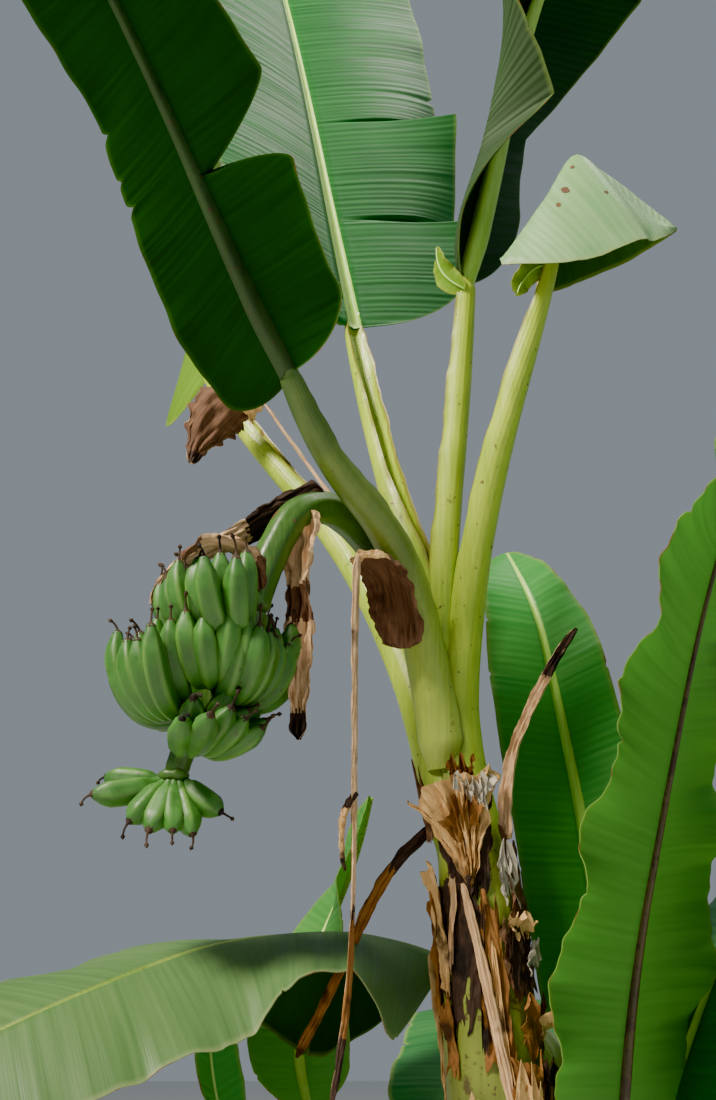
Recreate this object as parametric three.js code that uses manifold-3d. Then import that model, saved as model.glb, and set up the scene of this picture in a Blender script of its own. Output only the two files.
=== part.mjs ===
import * as THREE from 'three';
import { mergeVertices } from 'three/addons/utils/BufferGeometryUtils.js';
import Module from 'manifold-3d';

// Fruiting banana plant, a clump of one tall pseudostem and two suckers.
// Millimetres, +Z up, origin at the middle of the flat cut at ground level.
// Angles are degrees. A heading is turned from +X towards +Y, a lift is the rise above level.
// A list of sizes holds equally spaced stations, from the start of a limb to its end.

const wasm = await Module();
wasm.setup();

// Gap left between parts that touch
const CLEAR = 0.35;
// Least blade thickness, and the shares of a blade's length where its base has widened
// and where its tip starts to narrow
const EDGE = 8;
const LOBE = 0.12;
const TAPER = 0.42;
// Share of a half blade's width over which a crease turns
const SOFT = 0.2;

const COLOUR = {
  stem: '#b9c65a',
  petiole: '#bccb62',
  leaf: '#2f7a35',
  fruit: '#6fb04a',
  peduncle: '#5f9a3a',
  dry: '#b5875a',
  dark: '#5a4232',
};

// Pseudostem: height, radius and sideways bend at each height, lean per millimetre of height
const STEM = {
  heights: [0, 60, 200, 600, 1100, 1500, 1780, 1900, 2040, 2200, 2330],
  radii: [150, 138, 124, 114, 106, 95, 82, 66, 36, 24, 14],
  bend: [0, 0, 0, 0, 0, 0, 0, -8, -26, -44, -52],
  lean: [-0.0707, 0],
  foot: [0, 0],
  sides: 16,
};

// Outer radius of the pseudostem with the live sheaths that wrap its upper part
const WRAP = {
  heights: [0, 600, 1100, 1500, 1780, 1900, 2040, 2200],
  radii: [150, 114, 106, 95, 84, 77, 68, 64],
  bend: [0, 0, 0, 0, 0, -8, -26, -44],
};

// Fronds of the crown. The petiole runs from the throat, the blade follows it.
const FRONDS = [
  {
    name: 'right',
    start: [-126, 0, 1850],
    petiole: { heading: [-39, -51, -44, 12], lift: [111, 78, 70, 76.5], length: 1312 },
    channel: { radius: [76, 47, 33, 28, 24], spread: [96, 98, 96, 92, 85], wall: [30, 26, 20, 17, 14] },
    guides: {
      far: [[40, -56, 3096], [60, 10, 3098], [154, 44, 3143], [262, 16, 3186], [329, -92, 3188]],
      rib: [[38, -87, 3108], [66, -124, 3226], [118, -136, 3328], [232, -114, 3264], [326, -100, 3192]],
      crease: [[-76, -215, 3055], [-2, -226, 3168], [95, -200, 3314], [212, -165, 3232], [323, -108, 3188]],
      margin: [[-75, -250, 3030], [80, -292, 3014], [190, -272, 3062], [256, -212, 3104], [320, -116, 3183]],
    },
    thick: 9,
  },
  {
    name: 'left',
    start: [-153, 6, 1880],
    petiole: { heading: [133.5, 136, 153.5, 117.5], lift: [75, 61, 50, 49], length: 1473 },
    blade: { heading: [104, 102, 108, 114], lift: [60, 66, 62, 50], length: 1480 },
    channel: { radius: [68, 44, 32, 27, 23], spread: [90, 96, 98, 92, 85], wall: [30, 25, 20, 17, 14] },
    rib: [21, 15, 10, 4],
    left: { width: 240, fold: [-44, -82, -80, -78], curl: [-30, -20, -10], sweep: [-0.4, 0.4] },
    right: { width: 240, fold: [-30, -44, -40], curl: [-20, -10, -10], sweep: [-0.2, 0.4] },
    tears: [],
    wave: [8, 3, 0.1],
    turn: [0, 0, 0, 0],
  },
  {
    name: 'front_left',
    start: [-192, -2, 2040],
    petiole: { heading: [-162, -125.5, -142, -126], lift: [85.5, 71, 36.5, 56.5], length: 877 },
    blade: { heading: [-136, -134, -136, -139, -141], lift: [52.5, 55, 50, 41, 29], length: 1813 },
    channel: { radius: [46, 42, 36, 30, 25], spread: [98, 100, 98, 94, 86], wall: [28, 25, 22, 18, 15] },
    rib: [24, 18, 11, 4],
    left: { width: 242, fold: [6, 14, 12], curl: [-24, -22, -20], sweep: [0.05, 0.4] },
    right: { width: 207, fold: [6, 14, 12], curl: [-24, -22, -20], sweep: [-0.5, 0.4] },
    lobe: 0.06,
    tears: [{ side: -1, at: 0.225, depth: 0.9, gap: 0.02 }],
    wave: [12, 2.5, 0.2],
    turn: [0, 0, 0, 0],
  },
  {
    name: 'back_left',
    start: [-206, 21, 2240],
    petiole: { heading: [208, 112, 122], lift: [88.5, 62, 73.5], length: 924 },
    blade: { heading: [127, 122, 119, 116, 114], lift: [73.7, 73, 70, 64, 55], length: 1986 },
    channel: { radius: [34, 33, 30, 28, 24], spread: [100, 100, 98, 94, 86], wall: [24, 22, 20, 18, 15] },
    rib: [23, 17, 11, 4],
    left: { width: 330, fold: [12, 16, 12], curl: [-16, -20, -24], sweep: [0.1, 0.4] },
    right: { width: 415, fold: [12, 16, 12], curl: [-16, -20, -24], sweep: [0.25, 0.4] },
    taper: 0.62,
    tears: [
      { side: 1, at: 0.17, depth: 0.5, gap: 0.012 },
      { side: 1, at: 0.34, depth: 0.62, gap: 0.01 },
    ],
    wave: [10, 3, 0.3],
    turn: [0, 0, 0, 0],
  },
  {
    name: 'centre',
    start: [-202, 13, 2240],
    petiole: { heading: [-22, -9, -16.5], lift: [86, 84, 86], length: 868 },
    blade: { heading: [-26, -24, -26, -25, -25], lift: [74, 77, 68, 68, 58], length: 1489 },
    channel: { radius: [32, 30, 28, 27, 24], spread: [100, 100, 98, 94, 86], wall: [24, 22, 20, 17, 15] },
    rib: [20, 15, 10, 4],
    left: { width: 330, fold: [10, 14, -16, -20, -10], curl: [-2, -2], sweep: [0.46, 0.46] },
    right: {
      width: 227,
      fold: [55, 62, 81, 40, 20, 10],
      curl: [-7, -7],
      bend: [-71, -127, -81, -130, -70, 0],
      crease: [0.26, 0.14, 0.12, 0.25, 0.3],
      sweep: [0.46, 0.46],
    },
    tears: [],
    wave: [6, 3, 0.3],
    turn: [0, 0, 0, 0],
  },
];

// Suckers: stems that rise from the same foot, each with its own leaves
const SUCKERS = [
  {
    name: 'sucker_right',
    heights: [0, 80, 400, 900, 1180],
    radii: [96, 84, 72, 60, 46],
    foot: [205, 62],
    lean: [-0.091, 0.005],
    leaves: [
      {
        name: 'front',
        start: [112, 30, 1090],
        petiole: { heading: [-75, -48], lift: [80, 84], length: 250 },
        blade: { heading: [-46, -40, -30, -20, -10], lift: [84, 75, 75, 68, 48], length: 1760 },
        channel: { radius: [34, 29, 26], spread: [105, 98, 86], wall: [24, 20, 15] },
        rib: [20, 15, 10, 4],
        left: { width: 270, fold: [10, 14, 10], curl: [-20, -20, -20], sweep: [0, 0.4] },
        right: { width: 240, fold: [10, 14, 10], curl: [-20, -20, -20], sweep: [0, 0.4] },
        tears: [],
        wave: [12, 5, 0.1],
        turn: [0, 0, 0, 0],
      },
      {
        name: 'middle',
        start: [104, 70, 1120],
        petiole: { heading: [60, 70], lift: [62, 86], length: 380 },
        blade: { heading: [150, 160, 160, 140, 100], lift: [88, 83, 81, 78, 40], length: 1165 },
        channel: { radius: [30, 26, 22], spread: [105, 98, 86], wall: [22, 18, 14] },
        rib: [15, 12, 8, 3],
        left: { width: 150, fold: [16, 20, 10], curl: [-10, -14, -14], sweep: [0, 0.4] },
        right: { width: 132, fold: [16, 20, 10], curl: [-10, -14, -14], sweep: [0, 0.4] },
        tears: [],
        wave: [8, 4, 0.5],
        turn: [-50, -72, -70, -50, 0],
      },
      {
        name: 'arching',
        start: [100, 84, 1110],
        petiole: { heading: [148, 102, 223], lift: [78, 65, 19], length: 715 },
        blade: { heading: [223, 202, 222, 208, 211], lift: [19, -2, -17, -24, -29], length: 1290 },
        channel: { radius: [32, 27, 23], spread: [105, 98, 86], wall: [22, 18, 14] },
        rib: [18, 14, 9, 3],
        left: { width: 275, fold: [-75, -10, -20, -32, -32, -28], curl: [-20, -20], sweep: [0.5, 0.3, 0.4] },
        right: { width: 270, fold: [-40, -45, 14, 24, 32, 30], curl: [-30, -20, -14], sweep: [0, 0.4] },
        tears: [],
        wave: [16, 3, 0.1],
        turn: [0, 0, 0, 0],
      },
      {
        name: 'outer',
        start: [124, 66, 1080],
        petiole: { heading: [30, 26], lift: [66, 66], length: 330 },
        blade: { heading: [24, 14, 10, 8], lift: [66, 60, 40, 5], length: 1250 },
        channel: { radius: [32, 27, 23], spread: [105, 98, 86], wall: [22, 18, 14] },
        rib: [17, 13, 8, 3],
        left: { width: 235, fold: [6, 4, -10], curl: [-20, -24, -24], sweep: [0, 0.4] },
        right: { width: 235, fold: [6, 4, -10], curl: [-20, -24, -24], sweep: [0, 0.4] },
        tears: [],
        wave: [10, 4, 0.4],
        turn: [0, 0, 0, 0],
      },
    ],
  },
  {
    name: 'sucker_back',
    heights: [0, 80, 400, 800, 1050],
    radii: [90, 78, 66, 54, 40],
    foot: [-60, 205],
    lean: [-0.045, -0.03],
    leaves: [
      {
        name: 'upright',
        start: [-116, 168, 960],
        petiole: { heading: [183, 188, 150], lift: [44, 46, 66], length: 560 },
        blade: { heading: [140, 60, 5, 10], lift: [70, 68, 66, 78], length: 680 },
        channel: { radius: [28, 24, 20], spread: [105, 98, 86], wall: [20, 16, 13] },
        rib: [12, 10, 7, 3],
        left: { width: 105, fold: [10, 14, 20], curl: [-10, -10, 0], sweep: [0, 0.4] },
        right: { width: 105, fold: [10, 14, 20], curl: [-10, -10, 0], sweep: [0, 0.4] },
        tears: [],
        wave: [4, 3, 0.2],
        turn: [0, 0, 0, 0],
      },
      {
        name: 'low',
        start: [-118, 150, 880],
        petiole: { heading: [205, 203], lift: [24, 34], length: 330 },
        blade: { heading: [203, 178, 146], lift: [36, 64, 92], length: 600 },
        channel: { radius: [26, 22, 18], spread: [105, 98, 86], wall: [18, 15, 12] },
        rib: [11, 9, 6, 3],
        left: { width: 95, fold: [10, 14, 10], curl: [-10, -10, -10], sweep: [0, 0.4] },
        right: { width: 95, fold: [10, 14, 40], curl: [-10, -10, 0], sweep: [0, 0.4] },
        tears: [],
        wave: [4, 3, 0.2],
        turn: [0, 0, 0, 0],
      },
      {
        name: 'rear',
        start: [-100, 185, 960],
        petiole: { heading: [86, 84], lift: [74, 52], length: 400 },
        blade: { heading: [84, 76, 76, 76], lift: [52, 26, -12, -46], length: 1100 },
        channel: { radius: [28, 25, 22], spread: [105, 98, 86], wall: [20, 17, 14] },
        rib: [16, 12, 8, 3],
        left: { width: 230, fold: [8, 4, -10], curl: [-20, -24, -24], sweep: [0, 0.4] },
        right: { width: 230, fold: [8, 4, -10], curl: [-20, -24, -24], sweep: [0, 0.4] },
        tears: [],
        wave: [10, 4, 0.3],
        turn: [0, 0, 0, 0],
      },
    ],
  },
];

// Flower stalk: the green peduncle arches out of the throat, the rachis carries the hands
const PEDUNCLE = {
  start: [-212, 30, 2250],
  heading: [192, 203, 231, 219, 200],
  lift: [70, 64, 17, -59, -80],
  length: 762,
  radius: [37, 35, 34, 33],
};
const RACHIS = {
  heading: [200, 162, 164, 165],
  lift: [-80, -56, -60, -80],
  length: 362,
  radius: [31, 31, 28, 20],
};

// Hands of fruit, from the top: place along the rachis, middle heading, spread of headings,
// fingers in the outer and inner rows, lift at the base and the tip, finger length, and the tilt
// that lowers the near fingers and raises the far ones
const HANDS = [
  { at: 0.16, heading: 216, spread: 128, rows: [6, 3], lift: [-26, 94], length: 215 },
  { at: 0.4, heading: 70, spread: 120, rows: [5, 3], lift: [-20, 92], length: 190 },
  { at: 0.42, heading: 275, spread: 60, rows: [3, 3], lift: [-24, 90], length: 190 },
  { at: 0.5, heading: 340, spread: 100, rows: [4, 3], lift: [-26, 88], length: 205 },
  { at: 0.6, heading: 190, spread: 124, rows: [6, 3], lift: [-24, 92], length: 240 },
  { at: 0.8, heading: 322, spread: 96, rows: [4, 2], lift: [-14, 44], length: 175 },
  { at: 0.96, heading: 250, spread: 250, rows: [6, 0], lift: [-20, 15], length: 160, tilt: 55 },
];
const FINGER = {
  radius: 25,
  neck: 7,
  tip: 9,
  sides: 5,
  places: [0, 0.26, 0.76, 1],
  rowRise: 30,
  rowStep: 6,
  inner: 0.85,
  bend: 0.66,
  seat: 8,
};
// Half depth of the crown that the fingers of a hand grow from
const CROWN = 14;

// Dry pieces. Sheaths are bands on a stem: middle heading, half spread, lower and upper height.
const SHEATHS = [
  {
    name: 'dry_sheath_front',
    heading: 250,
    spread: 58,
    low: 1760,
    high: 2035,
    flare: 26,
    wall: 9,
    teeth: 4,
    depth: 60,
  },
  {
    name: 'dry_sheath_left',
    heading: 196,
    spread: 44,
    low: 1560,
    high: 1870,
    flare: 16,
    wall: 8,
    teeth: 3,
    depth: 70,
  },
  {
    name: 'dry_sheath_right',
    heading: 318,
    spread: 44,
    low: 1540,
    high: 1850,
    flare: 20,
    wall: 9,
    teeth: 4,
    depth: 60,
  },
  {
    name: 'dry_sheath_lower',
    heading: 300,
    spread: 70,
    low: 900,
    high: 1430,
    flare: 14,
    wall: 9,
    teeth: 5,
    depth: 90,
  },
  {
    name: 'dry_sheath_rear',
    heading: 90,
    spread: 80,
    low: 1100,
    high: 1760,
    flare: 14,
    wall: 9,
    teeth: 5,
    depth: 90,
  },
];

// Dry strips and stalks: a thin channel or band along its own path. One that follows another
// hangs on from its end, where the bend is.
const DRY = [
  {
    name: 'dry_strip_front',
    start: [-134, -96, 1795],
    heading: [-70, -60, -30],
    lift: [-86, -84, -88],
    length: 640,
    width: [18, 22, 17, 12],
    wall: 9,
    curl: 70,
  },
  {
    name: 'dead_leaf_base',
    start: [-262, -70, 2272],
    heading: [-108, -142, -115],
    lift: [96, 62, -44],
    length: 284,
    width: [52, 60, 50, 22],
    wall: 9,
    curl: 80,
  },
  {
    name: 'dead_petiole_hanging',
    follows: 'dead_leaf_base',
    heading: [230, 262, 265, 225, 200],
    lift: [-86, -88, -87, -86, -76],
    length: 1010,
    width: [17, 16, 15, 13, 8],
    wall: 11,
    curl: 60,
  },
  {
    name: 'dead_leaf_hanging',
    start: [-474, -188, 2530],
    heading: [-95, -95, -90],
    lift: [-86, -88, -89],
    length: 462,
    width: [24, 36, 20, 26, 14],
    wall: 9,
    curl: 70,
  },
  {
    name: 'dead_strip',
    start: [-432, -148, 2573],
    heading: [192, 197, 190, 188],
    lift: [-22, -38, -25, -70],
    length: 425,
    width: [14, 24, 22, 14],
    wall: 8,
    curl: 40,
  },
  {
    name: 'dead_stalk_back',
    start: [-198, 46, 2150],
    heading: [168, 153, 159],
    lift: [81, 54, 57],
    length: 875,
    width: [16, 13, 11, 10],
    wall: 10,
    curl: 60,
  },
  {
    name: 'dead_leaf_back',
    follows: 'dead_stalk_back',
    heading: [163, 165, 175, 187],
    lift: [60, -37, -62, -74],
    length: 270,
    width: [20, 86, 70, 16],
    wall: 8,
    curl: 90,
  },
  {
    name: 'dead_petiole_right',
    start: [-70, -48, 1900],
    heading: [-10, -12, -9],
    lift: [96, 66, 54],
    length: 450,
    width: [26, 20, 15, 16, 8],
    wall: 12,
    curl: 70,
  },
  {
    name: 'dead_petiole_left',
    start: [-175, 20, 1950],
    heading: [-160, -170, -175],
    lift: [-30, -66, -60],
    length: 560,
    width: [22, 18, 14, 12],
    wall: 12,
    curl: 70,
  },
];

const rad = THREE.MathUtils.degToRad;

// Value at t of a list of equally spaced stations
function station(list, t) {
  const x = THREE.MathUtils.clamp(t, 0, 1) * (list.length - 1);
  const i = Math.min(Math.floor(x), list.length - 2);
  return list.length === 1 ? list[0] : THREE.MathUtils.lerp(list[i], list[i + 1], x - i);
}

// Centre line that turns through its headings and lifts at an even pace
class Walk {
  constructor({ start, heading, lift, length, turn = [0] }, steps = 48) {
    this.heading = heading;
    this.lift = lift;
    this.turn = turn;
    this.length = length;
    this.steps = steps;
    this.points = [new THREE.Vector3(...start)];
    for (let i = 0; i < steps; i += 1) {
      const ahead = this.direction((i + 0.5) / steps).multiplyScalar(length / steps);
      this.points.push(this.points[i].clone().add(ahead));
    }
  }

  direction(t) {
    const a = rad(station(this.heading, t));
    const e = rad(station(this.lift, t));
    return new THREE.Vector3(Math.cos(e) * Math.cos(a), Math.cos(e) * Math.sin(a), Math.sin(e));
  }

  // Point, direction, rightward axis and upper-side axis at t
  frame(t) {
    const a = rad(station(this.heading, t));
    const e = rad(station(this.lift, t));
    const roll = rad(station(this.turn, t));
    const x = THREE.MathUtils.clamp(t, 0, 1) * this.steps;
    const i = Math.min(Math.floor(x), this.steps - 1);
    const point = this.points[i].clone().lerp(this.points[i + 1], x - i);
    const ahead = this.direction(t);
    const right = new THREE.Vector3(Math.sin(a), -Math.cos(a), 0);
    const upper = new THREE.Vector3(-Math.sin(e) * Math.cos(a), -Math.sin(e) * Math.sin(a), Math.cos(e));
    return {
      point,
      ahead,
      right: right.clone().multiplyScalar(Math.cos(roll)).addScaledVector(upper, -Math.sin(roll)),
      upper: upper.clone().multiplyScalar(Math.cos(roll)).addScaledVector(right, Math.sin(roll)),
    };
  }

  end() {
    return this.points[this.steps].toArray();
  }
}

// Closed body from a three.js geometry whose vertices have been carried to their places
function solidOf(geometry) {
  geometry.deleteAttribute('normal');
  geometry.deleteAttribute('uv');
  const merged = mergeVertices(geometry, 1e-4);
  return new wasm.Manifold(new wasm.Mesh({
    numProp: 3,
    vertProperties: Float32Array.from(merged.attributes.position.array),
    triVerts: Uint32Array.from(merged.index.array),
  }));
}

function carry(geometry, place) {
  const position = geometry.attributes.position;
  for (let i = 0; i < position.count; i += 1) {
    const p = place(position.getX(i), position.getY(i), position.getZ(i));
    position.setXYZ(i, p.x, p.y, p.z);
  }
  return solidOf(geometry);
}

function offset(frame, right, upper, ahead = 0) {
  return frame.point.clone()
    .addScaledVector(frame.right, right)
    .addScaledVector(frame.upper, upper)
    .addScaledVector(frame.ahead, ahead);
}

// Round limb along a walk, from one place to another, with a radius at each place
function limb(walk, from, to, radius, sides, rings, flat = 1) {
  const geometry = new THREE.CylinderGeometry(1, 1, 1, sides, rings);
  return carry(geometry, (x, y, z) => {
    const t = THREE.MathUtils.lerp(from, to, y + 0.5);
    const r = radius(THREE.MathUtils.clamp(y + 0.5, 0, 1));
    return offset(walk.frame(t), x * r, z * r * flat);
  });
}

// Bent sheet along a walk. The shape gives, for a place across from -1 to 1 and a place along
// from 0 to 1, the offsets to the right and up, the shift ahead, the tilt and the thickness.
function sheet(walk, from, to, across, places, shape) {
  const along = places.length - 1;
  const geometry = new THREE.BoxGeometry(2, 1, 1, across, 1, along);
  return carry(geometry, (x, y, z) => {
    const u = places[Math.round((0.5 - z) * along)];
    const s = shape(x, u, y);
    const out = y * s.thick;
    return offset(
      walk.frame(THREE.MathUtils.lerp(from, to, u)),
      s.right - Math.sin(s.tilt) * out,
      s.upper + Math.cos(s.tilt) * out,
      s.ahead,
    );
  });
}

function evenPlaces(count) {
  return Array.from({ length: count + 1 }, (_, i) => i / count);
}

// Arc across a half strip: offsets and tilt at w of its width
function arc(width, curl, w) {
  const k = rad(curl);
  return { out: width * Math.sin(k * w) / k, up: width * (1 - Math.cos(k * w)) / k, tilt: k * w };
}

// Cross profile of a half blade at w of its width. Its tilt starts at the fold, grows by the curl
// and turns by the bend round the crease. The offsets add up short straight steps.
function profile(half, width, u, w) {
  const tiltAt = (v) => {
    const turned = THREE.MathUtils.smoothstep((v - station(half.crease ?? [0.5], u)) / SOFT + 0.5, 0, 1);
    return rad(station(half.fold, u) + station(half.curl, u) * v + station(half.bend ?? [0], u) * turned);
  };
  const steps = 24;
  let out = 0;
  let up = 0;
  for (let i = 0; i < steps; i += 1) {
    const tilt = tiltAt(w * (i + 0.5) / steps);
    out += width * w / steps * Math.cos(tilt);
    up += width * w / steps * Math.sin(tilt);
  }
  return { out, up, tilt: tiltAt(w) };
}

// Share of the full half width of a banana blade at u: round base, even sides, rounded tip
function bladeOutline(u, lobe, taper) {
  const base = Math.sqrt(Math.max(0, 1 - (1 - Math.min(u / lobe, 1)) ** 2));
  const tip = Math.max(0, 1 - Math.max(0, (u - taper) / (1 - taper)) ** 2.4) ** 0.62;
  return Math.max(0.05, base * tip);
}

function bladeWidth(leaf, side, u) {
  const half = side < 0 ? leaf.left.width : leaf.right.width;
  const notch = leaf.tears
    .filter((tear) => tear.side === side)
    .reduce((depth, tear) => Math.max(depth, tear.depth * (1 - Math.abs(u - tear.at) / tear.gap)), 0);
  return half * bladeOutline(u, leaf.lobe ?? LOBE, leaf.taper ?? TAPER) * (1 - Math.max(0, notch));
}

// Blade with its rib as a keel below, which is shallower where the halves fold down beside it.
// Veins run back at the lobes and ahead near the tip. Columns across: tip of the keel, its
// shoulder on a large blade, its side, then shares of the rest of the half width.
function bladeSolid(leaf, walk, rows, grow) {
  const thick = Math.max(0.0102 * leaf.blade.length, EDGE) + 2 * grow;
  const places = [...evenPlaces(rows), 0.015];
  for (const tear of leaf.tears) {
    places.push(tear.at - tear.gap, tear.at, tear.at + tear.gap);
  }
  places.sort((a, b) => a - b);
  const start = (CLEAR - grow) / leaf.blade.length;
  const keel = rows > 10 ? [0, 0.62, 1] : [0, 1];
  const rest = leaf.right.bend ? [0.12, 0.26, 0.6, 1] : [0.5, 1];
  const columns = keel.length + rest.length - 1;
  return sheet(walk, start, 1, 2 * columns, places, (x, u, y) => {
    const side = x < 0 ? -1 : 1;
    const half = side < 0 ? leaf.left : leaf.right;
    const width = bladeWidth(leaf, side, u) + grow;
    const rib = Math.min(station(leaf.rib, u) + grow, 0.4 * width);
    const column = Math.round(Math.abs(x) * columns);
    const beyond = column - keel.length;
    const w = beyond < 0 ? keel[column] * rib / width : THREE.MathUtils.lerp(rib / width, 1, rest[beyond]);
    const slope = Math.min(rad(station(leaf.left.fold, u)), rad(station(leaf.right.fold, u)), 0);
    const hollow = Math.sqrt(1 - (keel[column] ?? 1) ** 2) * Math.max(0.1, Math.cos(1.15 * slope));
    const depth = y < 0 ? 1.7 * rib * hollow : 0;
    const cross = profile(half, width, u, w);
    const [height, count, phase] = leaf.wave;
    const ripple = height * w * w * Math.sin(2 * Math.PI * (u * count + phase + (side < 0 ? 0.37 : 0)));
    return {
      right: side * cross.out,
      upper: cross.up + ripple - depth,
      ahead: w * width * station(half.sweep, u),
      tilt: side * cross.tilt * Math.min(1, 2 * column / keel.length),
      thick,
    };
  });
}

// Folded blade through four guide lines: far margin, rib, crease and near margin. Columns run
// from the far margin over the rib, round the crease and down to the near margin.
function foldedSolid({ guides, thick }, rows, grow) {
  const lines = [guides.far, guides.rib, guides.crease, guides.margin]
    .map((points) => new THREE.CatmullRomCurve3(points.map((p) => new THREE.Vector3(...p))));
  const columns = [0, 0.5, 1, 1.45, 1.8, 2, 2.2, 2.55, 3];
  const surface = (u, s) => {
    const [a, b, c, d] = lines.map((line) => line.getPoint(u));
    if (s <= 1) return a.lerp(b, s);
    const reach = 1 - Math.min(1, Math.abs(s - 2) / 0.3);
    const straight = s < 2 ? b.clone().lerp(c, s - 1) : c.clone().lerp(d, s - 2);
    const cut = b.clone().lerp(c, 0.8).add(c.clone().lerp(d, 0.2)).multiplyScalar(0.5);
    return straight.lerp(cut, 0.5 * reach);
  };
  const step = 1e-3;
  const geometry = new THREE.BoxGeometry(1, 1, 1, columns.length - 1, 1, rows);
  return carry(geometry, (x, y, z) => {
    const u = THREE.MathUtils.lerp(0.02, 0.985, z + 0.5);
    const s = columns[Math.round((x + 0.5) * (columns.length - 1))];
    const across = surface(u, Math.min(3, s + step)).sub(surface(u, Math.max(0, s - step)));
    const along = surface(u + step, s).sub(surface(u - step, s));
    const normal = along.cross(across).normalize();
    return surface(u, s).addScaledVector(normal, y * (thick + 2 * grow));
  });
}

// Petiole or dry stalk: a channel open on its upper side
function channelSolid(walk, radius, spread, wall, grow, rows) {
  const ends = grow / walk.length;
  return sheet(walk, -ends, 1 + ends, 4, evenPlaces(rows), (x, u) => {
    const thick = station(wall, u) * (1 - 0.6 * Math.abs(x) ** 3) + 2 * grow;
    const middle = station(radius, u) - station(wall, u) / 2;
    const turn = rad(station(spread, u)) * x * (1 + grow / middle);
    return {
      right: middle * Math.sin(turn),
      upper: -middle * Math.cos(turn),
      ahead: (u < 0.5 ? -1 : 1) * Math.max(0, grow),
      tilt: turn,
      thick,
    };
  });
}

// Dry strip: a narrow band that curls up at both edges
function stripSolid(strip, walk, grow) {
  const ends = grow / strip.length;
  return sheet(walk, -ends, 1 + ends, 2, evenPlaces(8), (x, u) => {
    const side = x < 0 ? -1 : 1;
    const bend = arc(station(strip.width, u) + grow, strip.curl, Math.abs(x));
    return {
      right: side * bend.out,
      upper: bend.up,
      ahead: 0,
      tilt: side * bend.tilt,
      thick: strip.wall + 2 * grow,
    };
  });
}

// Upright stem with level sections from the ground up
function stemSolid({ heights, radii, bend, lean, foot, sides }, grow) {
  const rings = heights.length - 1;
  const geometry = new THREE.CylinderGeometry(1, 1, 1, sides, rings);
  geometry.rotateX(Math.PI / 2);
  return carry(geometry, (x, y, z) => {
    const i = Math.round((z + 0.5) * rings);
    const top = i === rings ? grow : 0;
    const h = heights[i];
    const r = radii[i] + grow;
    const aside = bend ? bend[i] : 0;
    return new THREE.Vector3(foot[0] + lean[0] * h + aside + x * r, foot[1] + lean[1] * h + y * r, h + top);
  });
}

// Value of one of the wrap's lists at a height
function wrapAt(list, height) {
  const i = Math.max(0, WRAP.heights.findIndex((h) => h > height) - 1);
  const f = (height - WRAP.heights[i]) / (WRAP.heights[i + 1] - WRAP.heights[i]);
  return THREE.MathUtils.lerp(list[i], list[i + 1], f);
}

// Dry sheath: a torn band that lies on the stem and flares at its top edge
function sheathSolid(spec, grow) {
  const columns = spec.teeth * 2;
  const geometry = new THREE.BoxGeometry(2, 1, 1, columns, 1, 2);
  return carry(geometry, (x, y, z) => {
    const column = Math.round((x + 1) / 2 * columns);
    const tooth = column % 2 === 0 ? 0 : spec.depth;
    const v = z + 0.5;
    const height = THREE.MathUtils.lerp(spec.low - grow, spec.high + grow - tooth, v);
    const angle = rad(spec.heading + x * (spec.spread + grow) * (1 - 0.25 * (1 - v)));
    const inner = wrapAt(WRAP.radii, height) - 3 + spec.flare * v ** 3;
    const r = inner + (0.5 - y) * spec.wall + (0.5 - y > 0.5 ? grow : -grow);
    const middle = STEM.lean[0] * height + wrapAt(WRAP.bend, height);
    return new THREE.Vector3(middle + r * Math.cos(angle), r * Math.sin(angle), height);
  });
}

// Banana finger: a thin neck, a five-sided body that curves up, a blunt tip
function fingerSolid(start, heading, lift, length, grow) {
  const walk = new Walk({ start, heading: [heading], lift, length }, 16);
  const radii = [FINGER.neck, FINGER.radius, FINGER.radius * 0.96, FINGER.tip];
  const rings = radii.length - 1;
  const geometry = new THREE.CylinderGeometry(1, 1, 1, FINGER.sides, rings);
  return carry(geometry, (x, y, z) => {
    const i = Math.round((y + 0.5) * rings);
    const ends = (i === 0 ? -grow : 0) + (i === rings ? grow : 0);
    const r = radii[i] + grow;
    return offset(walk.frame(FINGER.places[i]), x * r, z * r, ends);
  });
}

function handSolid(hand, rachis, grow) {
  const { point } = rachis.frame(hand.at);
  const crownRadius = station(RACHIS.radius, hand.at) + 4;
  const fingers = [];
  hand.rows.forEach((count, row) => {
    for (let i = 0; i < count; i += 1) {
      const f = (i + 0.25 + 0.5 * row) / count - 0.5;
      const heading = hand.heading + f * hand.spread;
      const tilt = (hand.tilt ?? 0) * Math.sin(rad(heading));
      const middle = THREE.MathUtils.lerp(hand.lift[0], hand.lift[1], FINGER.bend);
      const rise = row * FINGER.rowRise + tilt;
      const lift = [hand.lift[0] + rise, middle + 0.4 * row * FINGER.rowRise + tilt, hand.lift[1] + tilt];
      const length = hand.length * (row === 0 ? 1 : FINGER.inner);
      const out = new THREE.Vector3(Math.cos(rad(heading)), Math.sin(rad(heading)), 0);
      const start = point.clone().addScaledVector(out, crownRadius - FINGER.seat);
      start.z += row * FINGER.rowStep;
      fingers.push(fingerSolid(start.toArray(), heading, lift, length, grow));
    }
  });
  const a = rad(hand.heading - hand.spread / 2);
  const crown = new Walk({
    start: [point.x + crownRadius * Math.cos(a), point.y + crownRadius * Math.sin(a), point.z + 4],
    heading: [hand.heading - hand.spread / 2 + 90, hand.heading + hand.spread / 2 + 90],
    lift: [0, 0],
    length: crownRadius * rad(hand.spread),
  }, 12);
  fingers.push(limb(crown, 0, 1, () => CROWN + grow, 5, 3, 1.3));
  return wasm.Manifold.union(fingers);
}

function largest(solid) {
  return solid.decompose().sort((a, b) => b.volume() - a.volume())[0];
}

const plant = new THREE.Group();
plant.name = 'banana_plant';
const placed = [];

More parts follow.
